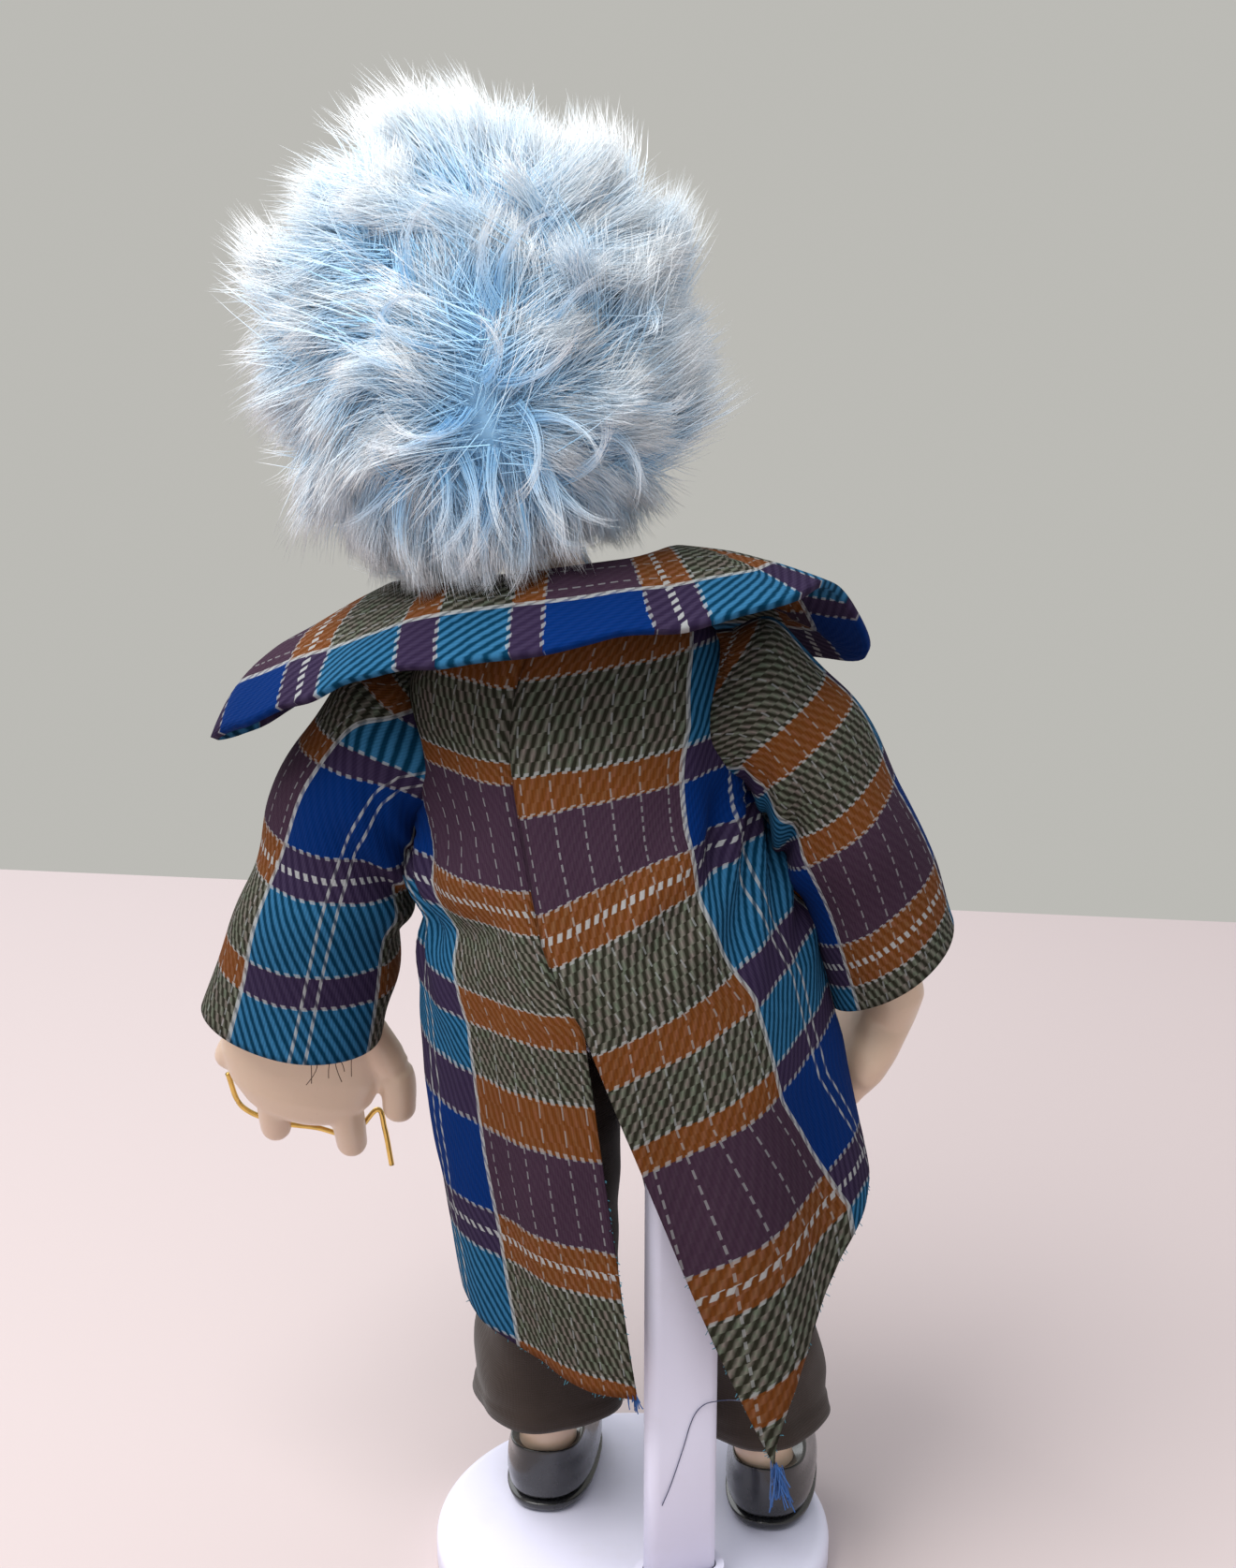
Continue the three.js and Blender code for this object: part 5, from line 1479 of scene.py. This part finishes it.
def face_relief(x, h):
    """How far the face stands forward of the plain head, at x and a share h of the height."""
    side = abs(x)
    sockets = -2.0 * bump_at(side, h, EYE_X, EYE_Z + 0.01, 6.5, 0.055)
    lids = 1.5 * bump_at(side, h, EYE_X, EYE_Z, 5.2, 0.034)
    brow = 0.9 * bump_at(side, h, EYE_X, EYE_Z + 0.11, 10, 0.035)
    bridge = 2.6 * bump_at(x, h, 0, 0.45, 3.6, 0.09)
    cheeks = 1.7 * bump_at(side, h, 16.5, 0.33, 8.5, 0.085)
    upper_lip = 1.5 * bump_at(x, h, 0, MOUTH_Z + 0.022, 7.2, 0.018)
    lower_lip = 1.7 * bump_at(x, h, 0, MOUTH_Z - 0.024, 6.2, 0.02)
    parting = -1.1 * bump_at(x, h, 0, MOUTH_Z, 8.5, 0.008)
    dimple = -0.8 * bump_at(x, h, 0, 0.155, 9, 0.022)
    chin = 1.8 * bump_at(x, h, 0, 0.085, 8, 0.04)
    return sockets + lids + brow + bridge + cheeks + upper_lip + lower_lip + parting + dimple + chin


def blend_shade(a, b, t):
    return [mix(p, q, min(1.0, max(0.0, t))) for p, q in zip(a, b)]


def face_paint(x, h):
    """Paint at a point of the face: rosy cheeks, quiet painted eyes, brows and red lips."""
    side = abs(x)
    shade = blend_shade(colours().skin, ROSE, 0.6 * bump_at(side, h, 17.5, 0.33, 6.5, 0.07))
    dx, dz = side - EYE_X, (h - EYE_Z) * HEAD_HEIGHT
    lid = (dx / EYE_HALF_WIDTH) ** 2 + (dz / EYE_HALF_HEIGHT) ** 2
    if lid < 1:
        shade = EYE_WHITE
        r = math.hypot(dx + 0.2, dz)
        if r < IRIS:
            shade = blend_shade(IRIS_MIDDLE, IRIS_RIM, r / IRIS)
        if r < PUPIL:
            shade = PUPIL_BLACK
        # A painted highlight: a small white glint in each eye
        if math.hypot(x - math.copysign(EYE_X, x) - 0.8, dz - 1.0) < GLINT:
            shade = GLINT_WHITE
    if abs(lid - 1.08) < 0.14 and dz > -0.6:
        shade = LASH_BROWN
    arch = EYE_Z + 0.105 - 0.00065 * (side - 12.5) ** 2
    if abs(h - arch) < 0.009 * ramp(20.5, 10, side) + 0.002 and 6.5 < side < 19.5:
        shade = blend_shade(shade, BROW_BROWN, 0.85)
    upper = h - MOUTH_Z < 0.036 - 0.00042 * x * x + 0.008 * min(1, side / 2.4) and h >= MOUTH_Z
    lower = MOUTH_Z - h < 0.04 - 0.00045 * x * x and h < MOUTH_Z
    if (upper or lower) and side < 9:
        shade = LIP_RED if abs(h - MOUTH_Z) > 0.004 else LIP_PARTING
    return shade


def make_head():
    levels = [(share * HEAD_HEIGHT, *row) for share, *row in HEAD_ROWS]
    skin = colours().skin
    rings, paint = [], []
    for h in steps(HEAD_BOTTOM, HEAD_TOP, 150):
        a, b, middle = (eased(levels, h * HEAD_HEIGHT, column) for column in (1, 2, 3))
        ring = []
        for t in circle(260):
            x, y = a * math.cos(t), b * math.sin(t)
            facing = ramp(0.25, 0.75, -math.sin(t))
            ear = 2.2 * bump_at(middle + y, h, 2, 0.46, 4.5, 0.085) * ramp(0.8, 0.98, abs(math.cos(t)))
            forward = face_relief(x, h) * facing
            ring.append((x + math.copysign(ear, x), y + middle - forward, CHIN + h * HEAD_HEIGHT))
            paint.append(face_paint(x, h) if math.sin(t) < -0.3 else skin)
        rings.append(ring)
    head = closed_piece("head_cast", placed(HEAD, rings))
    layer = head.data.color_attributes.new("paint", "FLOAT_COLOR", "POINT")
    for i, corner in enumerate(layer.data):
        corner.color = (*(paint[i] if i < len(paint) else skin), 1)
    dress(head, material(painted_head), "head", ["head", "head_pate"])

    ball = [(NECK_BALL * math.sin(t), NECK_HEIGHT + NECK_BALL * math.cos(t))
            for t in np.linspace(1.0, 2.9, 12)]
    neck = closed_piece("neck_cast", placed(HEAD, lathe([*NECK_PROFILE, *ball], 48)))
    dress(neck, material(painted_porcelain), "head")

    rings = []
    for t in np.linspace(0.06, 2.5, 20):
        r = NOSE_RADIUS * math.sin(t)
        front = NOSE - Vector((0, NOSE_RADIUS * math.cos(t), 0))
        rings.append([front + Vector((r * math.cos(p), 0, r * math.sin(p))) for p in circle(40)])
    nose = closed_piece("nose_cast", placed(HEAD, rings))
    dress(nose, material(satin, "red glaze", NOSE_RED), "head", ["nose"])


# Wig: a cloth cap and fur tufts that turn out from a whorl at the back

WIG_CENTRE = Vector((0, 5, 352))
CAP_RADII = Vector((41.5, 40, 43))
CAP_DEPTH = 50
CAP_SQUARENESS = 2.6
CAP_FRONT_END, CAP_BACK_END = 318, 304
CAP_CLOTH = 0.0012
NAPE_END = 294
FACE_CENTRE = Vector((0, -54, 324))
FACE_RADII = Vector((31, 46, 40))
WHORL = Vector((-0.163, 0.975, -0.150))
STRANDS = 7
STRAND_RADIUS = 0.0058
STRAND_STOPS = (0.0, 0.4, 0.75, 1.0)
TUFT_SHAPES = 6
FUR_PIECES = 8
LOCKS = 300
WISPS = 45
WISP_STRANDS = 20
WISP_RADIUS, WISP_TAPER = 0.00013, 0.85

# Length of the locks by the way that they point, in degrees up from the doll's left as seen in the photograph
LOCK_LENGTHS = ((-180, 0.95), (-140, 0.95), (-115, 1.1), (-90, 1.1), (-65, 0.9), (-45, 0.62), (-20, 1.02),
                (0, 1.02), (30, 0.95), (60, 0.95), (90, 1.08), (120, 0.95), (150, 1.0), (180, 0.95))


def fur_tuft(seed):
    """A small tuft of tapered strands that lean together and curl, 1 long."""
    rng = np.random.default_rng(seed)
    points, faces, along = [], [], []
    for _ in range(STRANDS):
        root = rng.normal(0, 0.1, 2)
        tip = rng.normal(0, 0.035, 2) + root * 0.2
        curl = rng.uniform(0.1, 0.4)
        twist = rng.uniform(-0.12, 0.12)
        reach = rng.uniform(0.72, 1.08)
        first = len(points)
        for s in STRAND_STOPS:
            x, y = root * (1 - s) + tip * s + np.array([curl * s * s, twist * s * s])
            wide = STRAND_RADIUS * (1 - s) ** 0.5
            height = reach * s * (1 - 0.12 * curl * s)
            for t in circle(3) if s < 1 else (0,):
                points.append((x + wide * math.cos(t), y + wide * math.sin(t), height))
                along.append(s)
        faces += grid_faces(3, 3, True, first)
        faces += [(first + 6 + m, first + 6 + (m + 1) % 3, first + 9) for m in range(3)]
    mesh = strand_mesh("fur_tuft", points, faces, along)
    shade_smooth(mesh)
    return mesh


def cap_point(way):
    """The cap's point in a unit direction of the head frame; the cap is deeper below its middle."""
    full, tall = 1.0, CAP_RADII.z
    if way.z < 0:
        full = math.hypot(way.x, way.y) ** CAP_SQUARENESS + abs(way.z) ** CAP_SQUARENESS
        full = full ** (-1 / CAP_SQUARENESS)
        tall = CAP_DEPTH
    return WIG_CENTRE + Vector((way.x * CAP_RADII.x, way.y * CAP_RADII.y, way.z * tall)) * full


def cap_normal(p):
    local = p - WIG_CENTRE
    flat, tall = 1.0, local.z / CAP_RADII.z ** 2
    if local.z < 0:
        flat = math.hypot(local.x / CAP_RADII.x, local.y / CAP_RADII.y) ** (CAP_SQUARENESS - 2)
        tall = -(-local.z / CAP_DEPTH) ** (CAP_SQUARENESS - 1) / CAP_DEPTH
    return Vector((flat * local.x / CAP_RADII.x ** 2, flat * local.y / CAP_RADII.y ** 2, tall)).normalized()


def head_way(way):
    """A direction of the room in the head frame."""
    return HEAD.to_3x3().inverted() @ Vector(way)


def from_face(p):
    """How far a point is from the middle of the face, where 1 is the wig's edge."""
    d = p - FACE_CENTRE
    return math.hypot(d.x / FACE_RADII.x, d.y / FACE_RADII.y, d.z / FACE_RADII.z)


def lock_path(root, own):
    """Where a lock that starts at root ends, and the way that it bends: out from the whorl, then down."""
    normal = cap_normal(root)
    whorl = head_way(WHORL).normalized()
    facing = normal.dot(whorl)
    away = normal * facing - whorl
    away = away.normalized() if away.length > 1e-4 else normal.orthogonal().normalized()
    down = head_way((0, 0, -1))
    swirl = Matrix.Rotation(math.radians(24) + 0.5 * own.x, 3, normal)
    low = ramp(0.1, 0.75, normal.dot(down))
    face = root - FACE_CENTRE
    beside = 1 - ramp(1.0, 1.5, from_face(root))
    flow = swirl @ away + down * (0.15 + 0.8 * low) + own * 0.42
    flow = flow * (1 - beside) + Vector((face.x, 0, face.z)).normalized() * (1.2 * beside)
    flow = (flow - normal * flow.dot(normal)).normalized()
    lift = mix(0.95, 0.3, ramp(0.35, 0.95, facing)) * (1 - 0.6 * low) + 0.28 * own.y
    way = HEAD.to_3x3() @ normal
    angle = math.degrees(math.atan2(way.z, way.x))
    length = sizes().tuft_length / MM * at(LOCK_LENGTHS, angle) * (1 + 0.22 * own.z)
    length *= mix(1.0, 0.8, ramp(0.6, 1.0, facing)) * mix(1.0, 0.6, beside)
    outwards = (normal + down * -normal.dot(down)).normalized()
    hang = ramp(0.25, 0.6, normal.dot(down))
    hanging = (down + outwards * 0.3 + own * 0.25).normalized()
    if hang > 0:
        length = min(length, max(7.0, root.z - NAPE_END))
    tip = root + (flow + normal * max(0.2, lift)).normalized().lerp(hanging, hang) * length
    return tip, (flow + down * 0.4 + own * 0.6).normalized()


def fur_wisps():
    """Strands of the loose locks: near the whorl they curl over the fur, at the nape they hang."""
    rng = np.random.default_rng(19)
    whorl = head_way(WHORL).normalized()
    down = head_way((0, 0, -1))
    paths = []
    for k in range(WISPS):
        nape = k % 3 == 0
        spot = whorl + (down * 0.75 if nape else Vector()) + Vector(rng.normal(0, 0.3 if nape else 0.5, 3))
        root = cap_point(spot.normalized())
        normal = cap_normal(root)
        away = root - cap_point(whorl) + down * (30 if nape else 0)
        away = (away - normal * away.dot(normal)).normalized()
        heading = Matrix.Rotation(rng.normal(0, 0.3 if nape else 0.9), 3, normal) @ away
        side = normal.cross(heading) * rng.choice((-1, 1))
        long = rng.uniform(20, 30)
        curl = rng.uniform(0.5, 1.0) if nape else rng.uniform(1.0, 2.6)
        middle = []
        for s in np.linspace(0, 1, 10):
            swing = heading * (math.sin(curl * s) / curl) + side * ((1 - math.cos(curl * s)) / curl)
            middle.append(root + swing * long + normal * mix(3, 11, math.sin(1.9 * s)))
        for _ in range(WISP_STRANDS):
            apart = side * rng.normal(0, 1.1) + normal * rng.normal(0, 0.9)
            drift = Vector(rng.normal(0, 1.1, 3))
            curve = curve_through(middle, 12)[:round(12 * rng.uniform(0.7, 1.0)) + 1]
            shares = steps(0, 1, len(curve) - 1)
            paths.append([q + apart * (1 - 0.75 * s) + drift * s ** 2 for q, s in zip(curve, shares)])
    return placed(HEAD, paths)


def fur_locks():
    """Roots, tips and bends of the locks, spread evenly over the cap in the head frame."""
    rng = np.random.default_rng(7)
    golden_turn = math.pi * (3 - math.sqrt(5))
    locks = []
    for k in range(LOCKS):
        rise = 1 - 2 * (k + 0.5) / LOCKS
        flat = math.sqrt(1 - rise * rise)
        around = golden_turn * k + rng.normal(0, 0.14)
        root = cap_point(Vector((flat * math.cos(around), flat * math.sin(around), rise)))
        own = Vector(np.clip(rng.normal(0, 0.6, 3), -1, 1))
        locks.append((root, *lock_path(root, own)))
    return locks


def fur_flow(p, locks, nearest):
    """The way that the fur rises at a point of the cap, into its lock's tip, the way it bends, its length."""
    root, tip, bend = locks[nearest.find(p)[1]]
    sway = Vector([noise.noise(p / 9 + Vector((17 * k, 5 * k, 0))) for k in range(3)])
    end = (p + (tip - root)).lerp(tip, 0.72) + sway * 2.5
    rise = end - p
    return rise.normalized(), (bend + sway * 0.3).normalized(), rise.length * MM / sizes().tuft_length


def cap_mesh(name):
    """The open cap under the fur, with the fur's directions kept as attributes."""
    work = bmesh.new()
    bmesh.ops.create_icosphere(work, subdivisions=6, radius=1.0)
    for v in work.verts:
        v.co = cap_point(v.co)
    cut = [v for v in work.verts
           if from_face(v.co) < 1 or v.co.z < (CAP_FRONT_END if v.co.y < -5 else CAP_BACK_END)]
    bmesh.ops.delete(work, geom=cut, context="VERTS")
    locks = fur_locks()
    nearest = KDTree(len(locks))
    for k, lock in enumerate(locks):
        nearest.insert(lock[0], k)
    nearest.balance()
    flows = [fur_flow(v.co, locks, nearest) for v in work.verts]
    for v in work.verts:
        v.co = HEAD @ v.co * MM
    mesh = bpy.data.meshes.new(name)
    work.to_mesh(mesh)
    work.free()
    turn = HEAD.to_3x3()
    for key, k in (("rise", 0), ("bend", 1)):
        values = [c for flow in flows for c in turn @ flow[k]]
        mesh.attributes.new(key, "FLOAT_VECTOR", "POINT").data.foreach_set("vector", values)
    mesh.attributes.new("reach", "FLOAT", "POINT").data.foreach_set("value", [flow[2] for flow in flows])
    shade_smooth(mesh)
    return mesh


def fur_tree(tufts, finish):
    """Geometry nodes that plant tufts over the cap, from their number per square metre, length and seed."""
    tree = bpy.data.node_groups.new("Fur tufts", "GeometryNodeTree")
    inputs = {"Geometry": "Geometry", "Density": "Float", "Tuft length": "Float", "Seed": "Int"}
    for name, kind in inputs.items():
        tree.interface.new_socket(name=name, in_out="INPUT", socket_type=f"NodeSocket{kind}")
    tree.interface.new_socket(name="Geometry", in_out="OUTPUT", socket_type="NodeSocketGeometry")
    graph = Graph(tree)
    start = graph.add("NodeGroupInput").outputs
    kinds = ("FLOAT_VECTOR", "FLOAT", "INT")

    def stored(key, kind="FLOAT_VECTOR"):
        return graph.node("GeometryNodeInputNamedAttribute", 0, {"Name": key}, data_type=kind)

    def varied(kind, low, high, **inputs):
        """A random value; each kind has its own pair of inputs and its own output."""
        k = kinds.index(kind)
        inputs.update({2 * k: low, 2 * k + 1: high})
        return graph.node("FunctionNodeRandomValue", k, inputs, data_type=kind)

    surface = {"Mesh": start["Geometry"], "Density": start["Density"], "Seed": start["Seed"]}
    points = graph.node("GeometryNodeDistributePointsOnFaces", "Points", surface)
    stray = varied("FLOAT_VECTOR", (-0.16, -0.16, -0.16), (0.16, 0.16, 0.16), Seed=start["Seed"])
    aim = graph.node("ShaderNodeVectorMath", 0, {0: stored("rise"), 1: stray}, operation="ADD")
    axes = graph.node("FunctionNodeAxesToRotation", 0, {0: aim, 1: stored("bend")},
                      primary_axis="Z", secondary_axis="X")
    twist = graph.node("FunctionNodeAxisAngleToRotation", 0, {0: (0, 0, 1), 1: varied("FLOAT", -0.6, 0.6)})
    turned = graph.node("FunctionNodeRotateRotation", 0, {0: axes, 1: twist}, rotation_space="LOCAL")
    reach = graph.times(varied("FLOAT", 0.7, 1.12), stored("reach", "FLOAT"))
    shapes = graph.add("GeometryNodeGeometryToInstance")
    for tuft in tufts:
        graph.feed(shapes.inputs[0], graph.node("GeometryNodeObjectInfo", "Geometry", {"Object": tuft}))
    planted = graph.node("GeometryNodeInstanceOnPoints", 0, {
        "Points": points, "Instance": shapes.outputs[0], "Pick Instance": True,
        "Instance Index": varied("INT", 0, TUFT_SHAPES - 1), "Rotation": turned,
        "Scale": graph.times(reach, start["Tuft length"])})
    real = graph.node("GeometryNodeRealizeInstances", 0, {0: planted})
    graph.add("NodeGroupOutput", {0: graph.node("GeometryNodeSetMaterial", 0, {0: real, "Material": finish})})
    return tree


def make_wig():
    fur = material(fur_fibre)
    cap = new_object("wig_cap_cloth", cap_mesh("wig_cap"))
    area = sum(face.area for face in cap.data.polygons)
    tufts = [new_object(f"tuft_{k}", fur_tuft(k + 1)) for k in range(TUFT_SHAPES)]
    tree = fur_tree(tufts, fur)
    sockets = {item.name: item.identifier for item in tree.interface.items_tree if item.in_out == "INPUT"}
    count = sizes().tuft_count / 1
    for k in range(FUR_PIECES):
        piece = new_object(f"wig_fur_{k + 1}", cap.data.copy())
        plant = piece.modifiers.new("Fur tufts", "NODES")
        plant.node_group = tree
        plant[sockets["Density"]] = count / FUR_PIECES / area
        plant[sockets["Tuft length"]] = sizes().tuft_length
        plant[sockets["Seed"]] = 11 + k
        settle(piece)
        dress(piece, fur, "head")
    for tuft in tufts:
        bpy.data.objects.remove(tuft)
    wisps = threads("wig_wisps", fur_wisps(), WISP_RADIUS, WISP_TAPER)
    dress(wisps, fur, "head")
    thicken(cap, CAP_CLOTH, -1.0)
    settle(cap)
    dress(cap, fur, "head", ["wig"])


# Stage: camera, floor and light

CAMERA_PLACE = Vector((-0.0697, 0.5274, 0.372))
CAMERA_HEADING = Vector((0.139, -0.990, 0))
CAMERA_DROP = math.radians(14.7)
CAMERA_LENS = 47.28
CAMERA_HEIGHT = 36
FLOOR_SHADE = (0.55, 0.465, 0.46)
FLOOR_HALF, FLOOR_BACK, FLOOR_Z = 2, -0.62, -0.0002
SKY_SHADE, SKY_STRENGTH = (0.92, 0.96, 1.0, 1), 0.74
WALL_SHADE = (0.5, 0.495, 0.465, 1)
DOLL_MIDDLE = Vector((0, 0, 0.2))

# Soft lights: name, place, width, power, colour
LIGHTS = (("overhead", (0.42, 0.48, 1.3), 0.9, 21.5, (1.0, 0.985, 0.965)),
          ("front fill", (0.75, -0.9, 0.9), 0.9, 5.0, (0.94, 0.97, 1.0)))


def aim(thing, way):
    thing.rotation_euler = way.to_track_quat("-Z", "Y").to_euler()


def make_stage():
    scene = bpy.context.scene
    scene.view_settings.view_transform = "Standard"
    camera = bpy.data.cameras.new("camera")
    camera.sensor_fit = "VERTICAL"
    camera.sensor_height = CAMERA_HEIGHT
    camera.lens = CAMERA_LENS
    camera.clip_start = 0.01
    eye = new_object("camera", camera)
    eye.location = CAMERA_PLACE
    aim(eye, CAMERA_HEADING.normalized() * math.cos(CAMERA_DROP) - Vector((0, 0, math.sin(CAMERA_DROP))))
    scene.camera = eye

    floor = grid_piece("floor", [[(x, y, FLOOR_Z) for x in np.linspace(-FLOOR_HALF, FLOOR_HALF, 5)]
                                 for y in np.linspace(FLOOR_BACK, FLOOR_HALF, 5)])
    floor.data.materials.append(Shader("pale floor", Roughness=0.85).colour(FLOOR_SHADE))

    # The camera and reflections see a grey wall; the cloth is lit by a paler sky
    scene.world = bpy.data.worlds.new("pale room")
    scene.world.use_nodes = True
    graph = Graph(scene.world.node_tree)
    sky = graph.tree.nodes["Background"]
    sky.inputs["Color"].default_value = SKY_SHADE
    sky.inputs["Strength"].default_value = SKY_STRENGTH
    wall = graph.node("ShaderNodeBackground", inputs={"Color": WALL_SHADE})
    ray = graph.add("ShaderNodeLightPath").outputs
    seen = graph.larger(ray["Is Camera Ray"], graph.larger(ray["Is Glossy Ray"], ray["Is Transmission Ray"]))
    swap = graph.node("ShaderNodeMixShader", inputs={0: seen, 1: sky.outputs[0], 2: wall})
    graph.feed(graph.tree.nodes["World Output"].inputs["Surface"], swap)

    for name, place, width, power, shade in LIGHTS:
        light = bpy.data.lights.new(name, "AREA")
        light.size = width
        light.energy = power
        light.color = shade
        lamp = new_object(name, light)
        lamp.location = place
        aim(lamp, DOLL_MIDDLE - Vector(place))


# Operators

class DOLL_OT_stage(Operator):
    """Adds the camera, the pale floor and the soft lights"""
    bl_idname = "doll.stage"
    bl_label = "Stage"

    def execute(self, context):
        make_stage()
        return {"FINISHED"}


class DOLL_OT_stand(Operator):
    """Makes the white plastic base, post and clip"""
    bl_idname = "doll.stand"
    bl_label = "Stand"

    def execute(self, context):
        make_stand()
        return {"FINISHED"}


class DOLL_OT_legs(Operator):
    """Makes the porcelain legs and the black shoes, and finishes the cloth body"""
    bl_idname = "doll.legs"
    bl_label = "Legs and shoes"

    def execute(self, context):
        make_legs()
        return {"FINISHED"}


class DOLL_OT_trousers(Operator):
    """Makes the dark brown trousers and their waistband"""
    bl_idname = "doll.trousers"
    bl_label = "Trousers"

    def execute(self, context):
        make_trousers()
        return {"FINISHED"}


class DOLL_OT_hands(Operator):
    """Casts the porcelain hands and bends the gold wire through the left fingers"""
    bl_idname = "doll.hands"
    bl_label = "Hands and wire"

    def execute(self, context):
        make_hands()
        return {"FINISHED"}


class DOLL_OT_shirt(Operator):
    """Makes the pleated shirt, its buttons and the bow tie"""
    bl_idname = "doll.shirt"
    bl_label = "Shirt and bow tie"

    def execute(self, context):
        make_shirt()
        return {"FINISHED"}


class DOLL_OT_coat(Operator):
    """Hangs the four plaid coat panels"""
    bl_idname = "doll.coat"
    bl_label = "Coat"

    def execute(self, context):
        make_coat()
        return {"FINISHED"}


class DOLL_OT_sleeves(Operator):
    """Makes the wide plaid sleeves"""
    bl_idname = "doll.sleeves"
    bl_label = "Sleeves"

    def execute(self, context):
        make_sleeves()
        return {"FINISHED"}


class DOLL_OT_collar(Operator):
    """Lays the wide collar over the shoulders and folds the lapels"""
    bl_idname = "doll.collar"
    bl_label = "Collar and lapels"

    def execute(self, context):
        make_collar()
        return {"FINISHED"}


class DOLL_OT_head(Operator):
    """Casts the head, paints its face and sets the red nose"""
    bl_idname = "doll.head"
    bl_label = "Head"

    def execute(self, context):
        make_head()
        return {"FINISHED"}


class DOLL_OT_wig(Operator):
    """Plants pale blue fur tufts over the wig's cap"""
    bl_idname = "doll.wig"
    bl_label = "Wig"

    def execute(self, context):
        make_wig()
        return {"FINISHED"}


OPERATORS = (DOLL_OT_stage, DOLL_OT_stand, DOLL_OT_legs, DOLL_OT_trousers, DOLL_OT_hands, DOLL_OT_shirt,
             DOLL_OT_coat, DOLL_OT_sleeves, DOLL_OT_collar, DOLL_OT_head, DOLL_OT_wig)


class DOLL_PT_panel(Panel):
    """Lists the doll's operators and its sizes and colours"""
    bl_idname = "DOLL_PT_panel"
    bl_label = "Porcelain clown doll"
    bl_space_type = "VIEW_3D"
    bl_region_type = "UI"
    bl_category = "Doll"

    def draw(self, context):
        for operator in OPERATORS:
            self.layout.operator(operator.bl_idname)
        for group in (context.scene.doll_sizes, context.scene.doll_colours):
            for name in type(group).__annotations__:
                self.layout.prop(group, name)


CLASSES = (DollSizes, DollColours, *OPERATORS, DOLL_PT_panel)


def register():
    for cls in CLASSES:
        bpy.utils.register_class(cls)
    bpy.types.Scene.doll_sizes = PointerProperty(type=DollSizes)
    bpy.types.Scene.doll_colours = PointerProperty(type=DollColours)


def unregister():
    del bpy.types.Scene.doll_colours
    del bpy.types.Scene.doll_sizes
    for cls in reversed(CLASSES):
        bpy.utils.unregister_class(cls)


def main():
    register()
    bpy.ops.doll.stage()
    bpy.ops.doll.stand()
    bpy.ops.doll.legs()
    bpy.ops.doll.trousers()
    bpy.ops.doll.hands()
    bpy.ops.doll.shirt()
    bpy.ops.doll.coat()
    bpy.ops.doll.sleeves()
    bpy.ops.doll.collar()
    bpy.ops.doll.head()
    bpy.ops.doll.wig()


if __name__ == "__main__":
    main()
